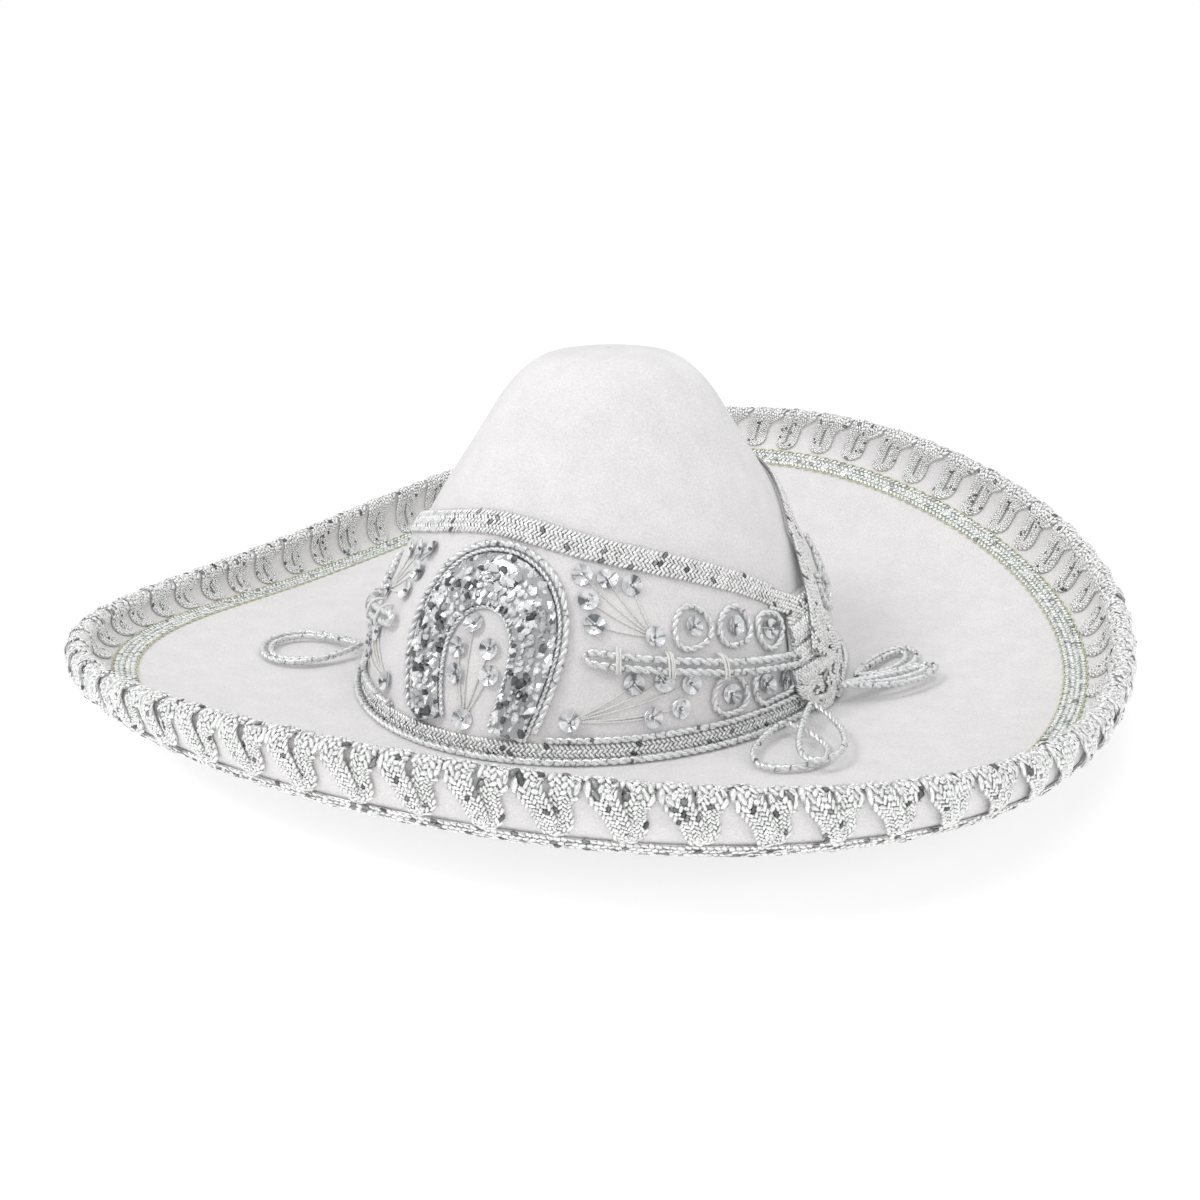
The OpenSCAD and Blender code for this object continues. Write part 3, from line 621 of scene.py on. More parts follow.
class Look:
    """A short way to write a node material."""

    def __init__(self, name):
        self.material = bpy.data.materials.new(name)
        self.material.use_nodes = True
        self.tree = self.material.node_tree
        self.shader = self.tree.nodes["Principled BSDF"]
        self.object_place = self.node("TexCoord").outputs["Object"]

    def fill(self, node, inputs):
        """Links inputs to other nodes' outputs, or gives them values."""
        for key, value in inputs.items():
            socket = node.inputs[key.replace("_", " ")]
            if isinstance(value, bpy.types.NodeSocket):
                self.tree.links.new(value, socket)
            else:
                socket.default_value = value
        return node

    def node(self, kind, **inputs):
        return self.fill(self.tree.nodes.new("ShaderNode" + kind), inputs)

    def noise(self, size_mm, detail=3):
        """Noise with features of about that size."""
        scale = 1 / (size_mm * MM)
        return self.node("TexNoise", Scale=scale, Detail=detail, Vector=self.object_place).outputs["Fac"]

    def bands(self, size_mm, direction):
        """Wavy bands about that wide."""
        scale = 0.314 / (size_mm * MM)
        node = self.node("TexWave", Scale=scale, Distortion=1.5, Detail_Scale=2, Vector=self.object_place)
        node.bands_direction = direction
        return node.outputs["Fac"]

    def tone(self):
        node = self.node("Attribute")
        node.attribute_name = "tone"
        return node.outputs["Fac"]

    def ramp(self, value, stops):
        node = self.node("ValToRGB", Fac=value)
        elements = node.color_ramp.elements
        while len(elements) < len(stops):
            elements.new(0.5)
        for element, (place, colour) in zip(elements, stops):
            element.position = place
            element.color = (*colour, 1)
        return node.outputs["Color"]

    def multiply(self, a, b, share=1.0):
        node = self.node("Mix")
        node.data_type = "RGBA"
        node.blend_type = "MULTIPLY"
        return self.fill(node, {"Factor": share, "A": a, "B": b}).outputs["Result"]

    def bump(self, value, depth_mm, strength):
        """Adds a bump on top of those that are there."""
        node = self.node("Bump", Distance=depth_mm * MM, Strength=strength, Height=value)
        for link in self.shader.inputs["Normal"].links:
            self.tree.links.new(link.from_socket, node.inputs["Normal"])
        self.set(Normal=node.outputs["Normal"])

    def set(self, **values):
        self.fill(self.shader, values)


def velvet_look():
    look = Look("white velvet")
    pile = look.ramp(look.noise(0.8, 4), [(0.3, (0.78, 0.765, 0.765)), (0.7, (0.9, 0.885, 0.885))])
    brushed = look.ramp(look.noise(11, 3), [(0.35, (0.95, 0.95, 0.955)), (0.65, (1, 1, 1))])
    look.set(Base_Color=look.multiply(pile, brushed), Roughness=0.95, Sheen_Weight=0.7,
             Sheen_Roughness=0.35, Specular_IOR_Level=0.15)
    look.bump(look.noise(0.9, 4), 0.5, 0.7)
    look.bump(look.noise(9, 2), 0.8, 0.25)
    return look.material


def metal_look(name, dark, middle, bright, tint, roughness, fleck_mm):
    """Metallic thread or strip: the tone of each strand sets how bright it is."""
    look = Look(name)
    colour = look.ramp(look.tone(), [(0.0, dark), (0.22, middle), (0.75, bright), (1.0, (1, 1, 1))])
    tinted = look.ramp(look.noise(3.1, 2), [(0.4, (1, 1, 1)), (0.62, tint)])
    # The noise flecks darken the metal in small spots: painted dark reflections
    flecks = look.ramp(look.noise(fleck_mm, 1), [(0.3, (0.35, 0.35, 0.37)), (0.36, (1, 1, 1))])
    colour = look.multiply(look.multiply(colour, tinted), flecks, 0.7)
    look.set(Base_Color=colour, Metallic=0.6, Roughness=roughness)
    look.bump(look.noise(fleck_mm * 0.8, 2), 0.12, 0.6)
    return look.material


def plain_look(name, colour, texture_of, dim, stops, depth_mm, strength, **values):
    """One colour, dimmed to the share dim in the hollows of a texture: painted shade in those hollows."""
    look = Look(name)
    texture = texture_of(look)
    # dark is the painted shade colour in the texture's hollows
    dark = tuple(dim * c for c in colour)
    look.set(Base_Color=look.ramp(texture, [(stops[0], dark), (stops[1], colour)]), **values)
    look.bump(texture, depth_mm, strength)
    return look.material


def thread_look(name, colour, size_mm=0.4):
    return plain_look(name, colour, lambda look: look.noise(size_mm), 0.72, (0.35, 0.6), 0.15, 0.7,
                      Roughness=0.75, Sheen_Weight=0.25)


def cloth_look(name, colour, weave_mm):
    def weave(look):
        return look.multiply(look.bands(weave_mm, "Z"), look.bands(weave_mm, "X"), 0.5)
    return plain_look(name, colour, weave, 0.85, (0.1, 0.7), 0.2, 0.6, Roughness=0.8, Sheen_Weight=0.2)


def hard_look(name, colour, roughness, grain_mm, metallic=0.0):
    return plain_look(name, colour, lambda look: look.noise(grain_mm), 0.8, (0.35, 0.65), 0.1, 0.4,
                      Roughness=roughness, Metallic=metallic)


velvet = velvet_look()
braid_metal = metal_look("silver braid", (0.05, 0.05, 0.055), (0.8, 0.8, 0.8), (0.97, 0.97, 0.97),
                         (0.96, 0.975, 0.96), 0.3, 0.6)
cord_metal = metal_look("silver cord", (0.06, 0.06, 0.065), (0.7, 0.7, 0.71), (0.93, 0.93, 0.94),
                        (0.95, 0.97, 0.96), 0.28, 0.7)
bullion_metal = metal_look("crumpled bullion", (0.07, 0.07, 0.075), (0.42, 0.43, 0.44), (0.88, 0.89, 0.9),
                           (0.93, 0.94, 0.95), 0.16, 1.2)
sequin_metal = metal_look("sequin foil", (0.1, 0.1, 0.11), (0.55, 0.56, 0.58), (0.88, 0.89, 0.9),
                          (0.9, 0.91, 0.93), 0.2, 2.0)
foil = metal_look("foil ribbon", (0.35, 0.37, 0.36), (0.85, 0.87, 0.86), (0.97, 0.98, 0.97),
                  (0.93, 0.97, 0.93), 0.3, 0.9)
white_thread = thread_look("white thread", (0.92, 0.92, 0.9))
yellow_thread = thread_look("ribbon edge thread", (0.72, 0.74, 0.45))
chin_thread = thread_look("chin cord thread", (0.9, 0.9, 0.89))
lining = cloth_look("lining cloth", (0.9, 0.9, 0.89), 0.7)
binding = cloth_look("binding tape", (0.86, 0.86, 0.85), 1.1)
leather = hard_look("sweatband leather", (0.8, 0.78, 0.75), 0.5, 0.6)
board = hard_look("pressed board", (0.62, 0.52, 0.38), 0.85, 1.5)
wire_steel = hard_look("wire", (0.55, 0.55, 0.56), 0.35, 0.8, 1.0)
padding = thread_look("padding", (0.88, 0.88, 0.86), 1.0)
plastic = hard_look("slider plastic", (0.8, 0.8, 0.81), 0.35, 2.0)

# Frame nodes that stay as they are and only get a finish
HIDDEN_FINISHES = {"crown_shell": board, "brim_core": board, "rim_wire": wire_steel,
                   "horseshoe_pad": padding, "chin_slider": plastic}
for node_name, finish in HIDDEN_FINISHES.items():
    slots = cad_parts[node_name].data.materials
    slots.clear()
    slots.append(finish)

# ---------- Crown and brim cloth ----------

AROUND = np.arange(0, 360, 1.0)


def profile_line(part, depth):
    """A run of the crown's profile pushed inwards by depth, as [radius, height]."""
    ahead = np.gradient(part, axis=0)
    normal = unit(stack(-ahead[:, 1], ahead[:, 0]))
    return part + depth * normal


def crown_cloth(name, outer, inner, material, slot):
    """A sheet over the whole crown between two depths under the velvet's face."""
    part = even_steps(CROWN_PROFILE, 2.4)
    grids = []
    for depth in (outer, inner):
        line = profile_line(part, depth)
        line[:, 0] = np.maximum(line[:, 0], 0.05)
        line[0, 1] = 0
        grids.append(crown_map(AROUND[:, None], line[None, :, 0], line[None, :, 1]))
    shape = Shape(name, material, slot)
    add_shell(shape, grids[0], grids[1])


crown_cloth("crown_velvet", 0, VELVET_T, velvet, "velvet")
crown_cloth("crown_lining", 3.3, CROWN_STACK, lining, "lining")


def brim_skin(inset, outside):
    """One face of a brim velvet, from the crown's foot to the top of the rim, set in from its outside."""
    th = AROUND[:, None]
    level = inset - BRIM_STACK if outside else -inset
    flat = np.linspace(0.2 - CROWN_STACK, SEAM_W, 5)[:-1]
    t = np.linspace(0, 1, 36)[:-1]
    rise = brim_at(th, t[None]) + level * brim_normal(th, t[None])
    inner = brim_map(th, np.concatenate([stack(0 * th + flat, level), rise], axis=1))
    share = np.linspace(0, 1, 40)
    lip = rim.place(th, rim.y_at(AROUND, 0, outside)[:, None] * (1 - share), -inset)
    return np.concatenate([inner, lip], axis=1)


def brim_cloth(name, outside):
    shape = Shape(name, velvet, "velvet")
    add_shell(shape, brim_skin(0, outside), brim_skin(VELVET_T, outside))


brim_cloth("brim_top_velvet", False)
brim_cloth("brim_under_velvet", True)

# ---------- Inside the crown ----------

SWEATBAND_T = 1.6
SWEATBAND_GAP = 0.6
SWEATBAND_IN = CROWN_STACK + SWEATBAND_GAP + SWEATBAND_T
STITCH_DROP = 2.2
STITCH_PITCH = 2.4
sweatband_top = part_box("sweatband")[1].z / MM - FOOT_Z
binding_half_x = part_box("opening_binding")[1].x / MM


def sweatband():
    z = np.linspace(-BRIM_STACK, sweatband_top, 22)[None]
    wall = crown_r(np.maximum(z, 0)) - SWEATBAND_IN
    bulge = 0.35 * np.sin(np.linspace(0, np.pi, 22))[None]
    faces = [crown_map(AROUND[:, None], wall + off + bulge, z) for off in (0, SWEATBAND_T)]
    shape = Shape("sweatband", leather, "sweatband")
    add_shell(shape, *faces)
    stitches = Shape("sweatband_stitches", white_thread, "thread")
    z = sweatband_top - STITCH_DROP
    for th in np.arange(0, 360, STITCH_PITCH):
        arc = ((0, -0.2), (0.6, 0.3), (1.2, -0.2))
        at = [crown_map(th + turn, crown_r(z) - SWEATBAND_IN - lift, z) for turn, lift in arc]
        add_tube(stitches, smooth_curve(at, 3), 0.3)


def opening_tape():
    th = AROUND[:, None]
    width = np.linspace(binding_half_x - (CROWN_HALF_W - CROWN_STACK), 0.4, 8)[None]
    r = CROWN_HALF_W - CROWN_STACK + width
    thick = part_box("opening_binding")[1].z / MM
    dome = thick * (1 - 0.25 * np.linspace(-1, 1, 8) ** 4)[None]
    faces = [stack(r * sind(th), -r * CROWN_RATIO * cosd(th), z + 0 * r) for z in (dome, 0)]
    shape = Shape("opening_binding", binding, "binding")
    add_shell(shape, *faces)


sweatband()
opening_tape()

# ---------- Rim trim ----------

SCROLL_PITCH = 19.7
SCROLL_HALF_W = 3.2
SCROLL_T = 1.6
RIBBON_HALF_W = 4.4
EDGE_WAVE = 5.2
RIBBON_TOP = 0.3  # share of the lip's section, as are the next two
LOWER_BRAID_FOOT = 0.42
LOWER_BRAID_TOP = 0.66
# The strap's zigzag in one unit, as (along the rim, share of the way down, up, spread): first the narrow
# hairpin inside, then the broad lobe outside, where the long arm lies over the short one
HAIRPIN = [(-4.9, 0.0, 0.1, 1.45), (-2.4, 0.13, 0, 1.2), (0.9, 0.28, 0, 0.92), (2.9, 0.47, 0, 0.8),
           (3.6, 0.68, 0, 0.78), (3.7, 0.87, 0, 0.78), (4.6, 1.0, 0, 0.76), (6.9, 1.05, 0, 0.74),
           (9.2, 1.0, 0, 0.76), (10.1, 0.87, 0, 0.78), (10.1, 0.68, 0, 0.78), (9.3, 0.47, 0.2, 0.8),
           (7.6, 0.28, 0.5, 0.92), (5.8, 0.13, 0.5, 1.2)]
LOBE = [(5.0, 0.0, 0.3, 1.45), (4.8, 0.18, 0.8, 1.4), (6.3, 0.36, 1.3, 1.15), (8.5, 0.58, 1.5, 1.02),
        (9.8, 0.8, 1.4, 1.0), (10.8, 0.95, 1.0, 0.96), (12.6, 1.0, 0.5, 0.94), (14.2, 0.93, 0.1, 0.94),
        (14.6, 0.78, 0, 0.95), (13.8, 0.58, 0, 0.96), (13.8, 0.36, 0, 1.12), (15.0, 0.18, 0, 1.4)]


def scroll_track():
    units = int(round(rim.length / SCROLL_PITCH))
    pitch = rim.length / units
    points = []
    for k in range(units):
        th = rim.angle(k * pitch)
        inner = -rim.y_at(th, RIBBON_TOP) - 3.4
        outer = rim.y_at(th, LOWER_BRAID_TOP, True) - 2.7
        x0, stretch = k * pitch + rng.normal(0, 0.4), rng.normal(1, 0.03)
        for part, depth in ((HAIRPIN, -inner), (LOBE, outer)):
            points += [(x0 + x, depth * share * stretch, up, spread) for x, share, up, spread in part]
    # The run ends where it starts, one rim length further on
    points.append((points[0][0] + rim.length, *points[0][1:]))
    return Track(smooth_curve(points, 4)[:-1], rim.wrap, closed=True, period=rim.length)


def scroll_braid():
    shape = Shape("rim_scroll_braid", braid_metal, "silver_braid")
    add_braid(shape, scroll_track(), SCROLL_HALF_W, 0.15, SCROLL_T, **SCROLL_WEAVE)


def lower_braid(x):
    middle = (rim.y_at(AROUND, LOWER_BRAID_FOOT, True) + rim.y_at(AROUND, LOWER_BRAID_TOP, True)) / 2
    track = Track(stack(x, middle), rim.wrap, True, rim.length)
    shape = Shape("rim_lower_braid", braid_metal, "silver_braid")
    add_braid(shape, track, 3.4, 0.3, 1.3, **LOWER_WEAVE)


def foil_ribbon(x):
    """The ribbon inside the lip, with a wavy thread along each edge."""
    middle = (rim.y_at(AROUND, 0) + rim.y_at(AROUND, RIBBON_TOP)) / 2 - 0.3
    ribbon = Track(stack(x, middle), rim.wrap, True, rim.length)
    shape = Shape("brim_sequin_ribbon", foil, "foil_ribbon")
    s = np.arange(0, ribbon.length, SLAB_STEP)
    add_slab(shape, ribbon, s, RIBBON_HALF_W, 0.1, 0.55, True, 0.7)
    add_grains(shape, ribbon, ribbon.length, RIBBON_HALF_W - 0.2, 0.6, **RIBBON_WEAVE)
    shape = Shape("ribbon_edge_threads", yellow_thread, "thread")
    s = np.arange(0, ribbon.length, 1.1)
    for side in (-1, 1):
        wave = side * RIBBON_HALF_W + 0.4 * np.sin(2 * np.pi * s / EDGE_WAVE)
        add_tube(shape, ribbon(stack(s, wave, 0.6)), 0.28, 5, True)


scroll_braid()
along_rim = np.interp(AROUND, np.append(rim.th, 360), rim.run)
lower_braid(along_rim)
foil_ribbon(along_rim)

# ---------- Hat band ----------


def front_edge(th):
    """Height of the front panel's upper edge, peaked over the horseshoe."""
    a = np.abs(th - FRONT_TURN)
    return FRONT_PEAK - 0.3 * (np.hypot(a, FRONT_ROUND) - FRONT_ROUND) - 9 * (a / 80) ** 5


def back_edge(th):
    return BACK_PEAK - 43 * (np.abs(180 - th) / 92) ** 4.5


def band(name, start, edge):
    """A velvet panel and the braid along its upper edge, to both sides of the angle start."""
    th = start + np.linspace(-PANEL_END, PANEL_END, 110)
    height = edge(th) - 2
    share = np.linspace(0, 1, 26)[None]
    z = 0.1 + (height[:, None] - 0.1) * share
    shape = Shape(name + "_panel", velvet, "velvet")
    add_shell(shape, on_crown(th[:, None], z, ON_PANEL - 0.05), on_crown(th[:, None], z, 0.08), False)
    braid = Track(stack(th, edge(th) - BRAID_W / 2), crown_place)
    shape = Shape(name + "_braid", braid_metal, "silver_braid")
    add_braid(shape, braid, BRAID_W / 2, UNDER_BRAID - 0.2, 1.8, **BAND_WEAVE)


def band_pieces():
    band("front_band", 0, front_edge)
    band("back_band", 180, back_edge)
    base = Track(stack(AROUND, 0.3 + BASE_BRAID_H / 2), crown_place, True, 360)
    shape = Shape("base_braid", braid_metal, "silver_braid")
    add_braid(shape, base, BASE_BRAID_H / 2, UNDER_BRAID - 0.2, 1.5, **BASE_WEAVE)
    shape = Shape("base_cord", cord_metal, "silver_cord")
    add_rope(shape, on_crown(AROUND, CORD_R + 0.2, UNDER_BRAID + 1.6 + CORD_R), CORD_R, True)


band_pieces()

# ---------- Horseshoe ----------

CHIP_STEP = 2.1
OUTER_CORD_START = 4


def shoe_line():
    """Middle line of the horseshoe from its right foot over the top to its left foot."""
    z = np.linspace(SHOE_FOOT, SHOE_MID, 12, endpoint=False)
    lean = 1 - cosd(90 * (SHOE_MID - z) / (SHOE_MID - SHOE_FOOT))
    leg = stack(SHOE_HALF_W + (SHOE_FOOT_HALF_W - SHOE_HALF_W) * lean, z)
    a = np.linspace(0, 90, 19)
    arch = stack(SHOE_HALF_W * cosd(a), SHOE_MID + (SHOE_TOP - SHOE_MID) * sind(a))
    right = np.vstack([leg, arch])
    left = right[:-1][::-1] * (-1, 1)
    return np.vstack([right, left])


def shoe_half_band(track, s):
    """Half the width of the horseshoe's band at places along its middle line."""
    z = np.interp(s, track.s, track.v)
    share = np.clip((z - SHOE_FOOT) / (SHOE_TOP - SHOE_FOOT), 0, 1)
    return (SHOE_FOOT_W + (SHOE_BAND_W - SHOE_FOOT_W) * share) / 2


def chunk_template():
    """A rough faceted lump, one unit across."""
    phi = (1 + 5 ** 0.5) / 2
    points = np.array([(-1, phi, 0), (1, phi, 0), (-1, -phi, 0), (1, -phi, 0),
                       (0, -1, phi), (0, 1, phi), (0, -1, -phi), (0, 1, -phi),
                       (phi, 0, -1), (phi, 0, 1), (-phi, 0, -1), (-phi, 0, 1)])
    tris = np.array([(0, 11, 5), (0, 5, 1), (0, 1, 7), (0, 7, 10), (0, 10, 11), (1, 5, 9), (5, 11, 4),
                     (11, 10, 2), (10, 7, 6), (7, 1, 8), (3, 9, 4), (3, 4, 2), (3, 2, 6), (3, 6, 8),
                     (3, 8, 9), (4, 9, 5), (2, 4, 11), (6, 2, 10), (8, 6, 7), (9, 8, 1)])
    return unit(points) / 2, tris


def random_turns(n):
    """n random rotation matrices."""
    return np.array([Quaternion(q).normalized().to_matrix() for q in rng.normal(size=(n, 4))])


def chip_places(track):
    """Rows of places across the horseshoe's band, each (along, across, half width of the row)."""
    places = []
    for at in np.arange(0.8, track.length, CHIP_STEP):
        width = shoe_half_band(track, at) - 1.5
        count = int(2 * width / CHIP_STEP)
        across = np.linspace(-width, width, count) + rng.normal(0, 0.28, count)
        places += [(at + rng.normal(0, 0.4), c, width) for c in across]
    return np.array(places)


def add_chips(shape, track):
    """Crumpled chips of strip, heaped highest along the middle of the band."""
    points, tris = chunk_template()
    places = chip_places(track)
    n = len(places)
    size = rng.uniform(2.8, 4.6, (n, 1, 1)) * rng.uniform(0.45, 1.15, (n, 1, 3))
    chips = points[None] * (1 + rng.normal(0, 0.16, (n, len(points), 1))) * size
    chips = np.einsum("nij,nkj->nki", random_turns(n), chips)
    dome = 1 - 0.75 * (np.abs(places[:, 1]) / (places[:, 2] + 1.4)) ** 2.6
    height = ON_PANEL + (SHOE_RAISE - 1.4) * dome + rng.normal(0, 0.3, n)
    middle = stack(places[:, 0], places[:, 1], height)
    # The chips' tones, from very dark to very bright, are painted reflections on their crumpled facets
    add_copies(shape, points, tris, [], track(middle[:, None] + chips), grain_tones(n, 0.2, 0.4))


def horseshoe():
    track = Track(smooth_curve(shoe_line(), 3), front_place)
    s = np.linspace(0, track.length, 150)
    # The grey tone of the backing under the chips is painted shade in the crevices between them
    shape = Shape("horseshoe_ground", bullion_metal, "bullion")
    half_w = shoe_half_band(track, s) * 0.96
    add_slab(shape, track, s, half_w, ON_PANEL + 0.1, ON_PANEL + SHOE_RAISE - 1.6, False, 0.3, 8)

    shape = Shape("horseshoe_bullion", bullion_metal, "bullion", smooth=False)
    add_chips(shape, track)

    shape = Shape("horseshoe_edge_cords", cord_metal, "silver_cord")
    for side in (-1, 1):
        across = side * (shoe_half_band(track, track.s) + EDGE_CORD_R)
        path = track(stack(track.s, across, ON_PANEL + EDGE_CORD_R + 0.3))
        add_rope(shape, path, EDGE_CORD_R + 0.15)

    shape = Shape("horseshoe_outer_cord", cord_metal, "silver_cord")
    s = track.s[(track.s > OUTER_CORD_START) & (track.s < track.length - OUTER_CORD_START)]
    outside = -(shoe_half_band(track, s) + 2 * EDGE_CORD_R + CORD_R + 0.2)
    add_rope(shape, track(stack(s, outside, ON_PANEL + CORD_R + 0.2)), CORD_R)


horseshoe()

# ---------- Sequins and rosettes ----------

CUP_SIDES = 14
CUP_RINGS = ((0.15, 0.06), (0.42, 0.03), (0.98, 0.25), (1.0, 0.22), (0.42, -0.01), (0.15, 0.02))
SEED_TONES = ((0.75, 1.7, 0.08), (1.6, 0.95, 0.97))  # (height, size, tone) of the dark seat and the bead
LEAD = [(0.3, 0, 1.4), (2.2, 0, 1.35), (3.7, 0.1, 1.7), (4.3, 0.1, 0.6)]


def cup_template():
    """A pleated foil cup with a hole, its rim one unit from the middle."""
    a = np.arange(CUP_SIDES) * 360 / CUP_SIDES
    pleat = np.where(np.arange(CUP_SIDES) % 2, 0.035, -0.035)
    rings = [stack(r * cosd(a), r * sind(a), z + pleat * (r > 0.5)) for r, z in CUP_RINGS]
    return np.vstack(rings), grid_faces(len(CUP_RINGS), CUP_SIDES, True, True)


CUP, CUP_QUADS = cup_template()


def add_sequins(shape, stitches, places):
    """Cups tilted a little at random, each with a seed over its hole and a stitch to its edge."""
    seed, seed_tris = chunk_template()
    for th, z in places:
        along, up, out = crown_axes(th, z)
        centre = on_crown(th, z, ON_PANEL + 0.75)
        tilt = rng.normal(0, 9, 2)
        normal = unit(out + along * sind(tilt[0]) + up * sind(tilt[1]))
        side = unit(along - normal * (along @ normal))
        over = np.cross(normal, side)
        turn = rng.uniform(0, 360)
        first = side * cosd(turn) + over * sind(turn)
        axes = np.array([first, over * cosd(turn) - side * sind(turn), normal])
        # Each facet is painted a random brightness, from nearly black to white: painted reflections on
        # the facets
        facets = rng.choice((0.06, 0.5, 0.75, 1.0), CUP_SIDES)
        shape.add(centre + (CUP * SEQUIN_R) @ axes, [CUP_QUADS], np.tile(facets, len(CUP) // CUP_SIDES))
        for height, size, tone in SEED_TONES:
            shape.add(centre + normal * height + seed @ axes * size, [seed_tris], tone)
        add_tube(stitches, centre + smooth_curve(np.array(LEAD) @ axes, 4), 0.16, 5)


def mirrored(places):
    return [(-th, z) for th, z in places]


def turned_back(places):
    return [(180 - th, z) for th, z in places]


def all_sides(places):
    return places + mirrored(places)


def add_threads(shape, spray):
    """White threads from the first sequin of a spray to each of the others."""
    root = np.array(spray[0], float)
    share = np.linspace(0.06, 0.94, 14)[:, None]
    sag = 0.5 * np.sin(np.pi * share[:, 0])
    for place in spray[1:]:
        path = root + (np.array(place, float) - root) * share
        at = on_crown(path[:, 0], path[:, 1] - sag, ON_PANEL + THREAD_R + 0.1)
        add_rope(shape, at, THREAD_R + 0.08)


def add_ring(shape, th, z, th_end, radius):
    """A ring of rope round one sequin, reaching further towards the front, or a long one round two."""
    per_degree = np.linalg.norm(on_crown(th + 0.5, z, 0) - on_crown(th - 0.5, z, 0))
    a = np.linspace(0, 360, 40, endpoint=False)
    wobble = radius + 0.35 * np.sin(np.radians(3 * a) + rng.uniform(0, 6))
    to_side = cosd(a) * np.sign(sind(th))
    wobble = wobble + 1.4 * np.maximum(-to_side * np.sign(cosd(th)), 0)
    far = (cosd(a) > 0) == (th_end >= th)
    angle = np.where(far, th_end, th) + wobble * cosd(a) / per_degree
    add_rope(shape, on_crown(angle, z + wobble * sind(a), ON_PANEL + 1.6), 1.25, True)


def sequin_trim():
    right = UPPER_SPRAY + LOWER_SPRAY
    back_rosettes = turned_back(all_sides(UPPER_ROSETTES))
    groups = {"horseshoe_sequins": SHOE_SPRAY, "spray_sequins_right": right,
              "spray_sequins_left": mirrored(right), "back_sequins": turned_back(all_sides(right)),
              "rosette_sequins": all_sides(UPPER_ROSETTES + LOWER_ROSETTES) + back_rosettes}
    stitches = Shape("sequin_stitches", white_thread, "thread")
    for name, places in groups.items():
        shape = Shape(name, sequin_metal, "sequins", smooth=False)
        add_sequins(shape, stitches, places)

    threads = Shape("spray_threads", white_thread, "thread")
    add_threads(threads, SHOE_SPRAY)
    for spray in (UPPER_SPRAY, LOWER_SPRAY):
        for places in (spray, mirrored(spray), turned_back(spray), turned_back(mirrored(spray))):
            add_threads(threads, places)

    rings = Shape("rosette_cords", cord_metal, "silver_cord")
    single, (first, z), (last, _) = LOWER_ROSETTES
    for th, height in all_sides(UPPER_ROSETTES + [single]) + back_rosettes:
        add_ring(rings, th, height, th, ROSETTE_R + 0.3 + rng.normal(0, 0.2))
    for way in (1, -1):
        add_ring(rings, way * first, z, way * last, ROSETTE_R)


sequin_trim()

# ---------- Cords over the band ----------

MID_TIP = (29.5, 36.4)
MID_ROOT = (78.5, 23.6)
MID_HALF = 1.75
MID_OFF = ON_PANEL + CORD_R + 1.9
MID_CLIMB = 1.9
MID_CLIMB_FROM = 50
MID_CLIMB_OVER = 12
TIE_ANGLES = (35, 46, 58)
TIE_R = 0.42
TIE_PITCH = 0.45
TIE_JITTER = 0.25


def mid_height(th):
    return np.interp(th, (MID_TIP[0], MID_ROOT[0]), (MID_TIP[1], MID_ROOT[1]))


def mid_off(th):
    """How far off the crown the long loop is; it climbs on its way to the knot."""
    share = np.clip((th - MID_CLIMB_FROM) / MID_CLIMB_OVER, 0, 1)
    return MID_OFF + MID_CLIMB * (1 - cosd(180 * share)) / 2


def long_loops():
    out = np.linspace(MID_ROOT[0], MID_TIP[0], 12)
    above = stack(out, mid_height(out) + MID_HALF)
    below = stack(out, mid_height(out) - MID_HALF)[::-1]
    flat = np.vstack([above, [(MID_TIP[0] - 1.5, MID_TIP[1])], below, [(MID_ROOT[0] + 1, MID_ROOT[1])]])
    flat = smooth_curve(flat, 5, closed=True)
    low = stack(np.linspace(21, 79, 40), BASE_BRAID_H + CORD_R + 0.6)
    ties = Shape("thread_ties", white_thread, "thread")
    for side, hand in ((1, "right"), (-1, "left")):
        shape = Shape("mid_cord_" + hand, cord_metal, "silver_cord")
        add_rope(shape, on_crown(side * flat[:, 0], flat[:, 1], mid_off(flat[:, 0])), CORD_R + 0.2, True)
        shape = Shape("lower_cord_" + hand, cord_metal, "silver_cord")
        add_rope(shape, on_crown(side * low[:, 0], low[:, 1], ON_PANEL + CORD_R + 0.3), CORD_R)
        for th in TIE_ANGLES:
            for k in range(3):
                add_tie(ties, side, th + TIE_PITCH * (k - 1) + rng.normal(0, TIE_JITTER))


def add_tie(shape, side, th):
    """A thread over both strands of the long loop, going into the panel on either side."""
    low = mid_off(th) + 0.5
    reach = MID_HALF + CORD_R + 0.7
    top = low + CORD_R
    profile = [(-reach, 2), (-reach, low), (-2, top), (2, top), (reach, low), (reach, 2)]
    across, off = smooth_curve(profile, 5).T
    add_tube(shape, on_crown(side * th + 0 * across, mid_height(th) + across, off), TIE_R)


long_loops()

# ---------- Side knots ----------

# Rows of (height, half width in degrees, outer face, inner face off the crown)
KNOT_ROWS = np.array([(3.2, 5, 9.2, 6.6), (8.6, 8, 9.5, 4), (14, 9.5, 9.5, 0.7), (21, 9.5, 9.5, 0.7),
                      (28, 8.5, 8.7, 0.7), (35, 7.5, 7.7, 0.7), (43, 5, 5.2, 0.7)])
KNOT_FOOT = 3.4
KNOT_TOP = 43
FRONT_WIDENING = 1.3
# Braid arms that come down into the knot from both bands, as (angle, height, up, spread)
FRONT_ARM = [(76.5, 45.5, 1.8, 0.96), (81, 42.6, 2.6, 1), (86, 38, 4.4, 1), (90, 30.5, 7.2, 1),
             (92.5, 22, 8.7, 1), (93, 13, 8.4, 1)]
BACK_ARM = [(109.5, 67.4, 1.7, 0.62), (105.5, 62, 2.1, 0.75), (101, 55, 2.8, 0.95), (96.2, 47, 3.9, 1),
            (91, 39, 6.4, 1), (87, 30.5, 8.4, 1), (84.6, 22, 8.8, 1)]
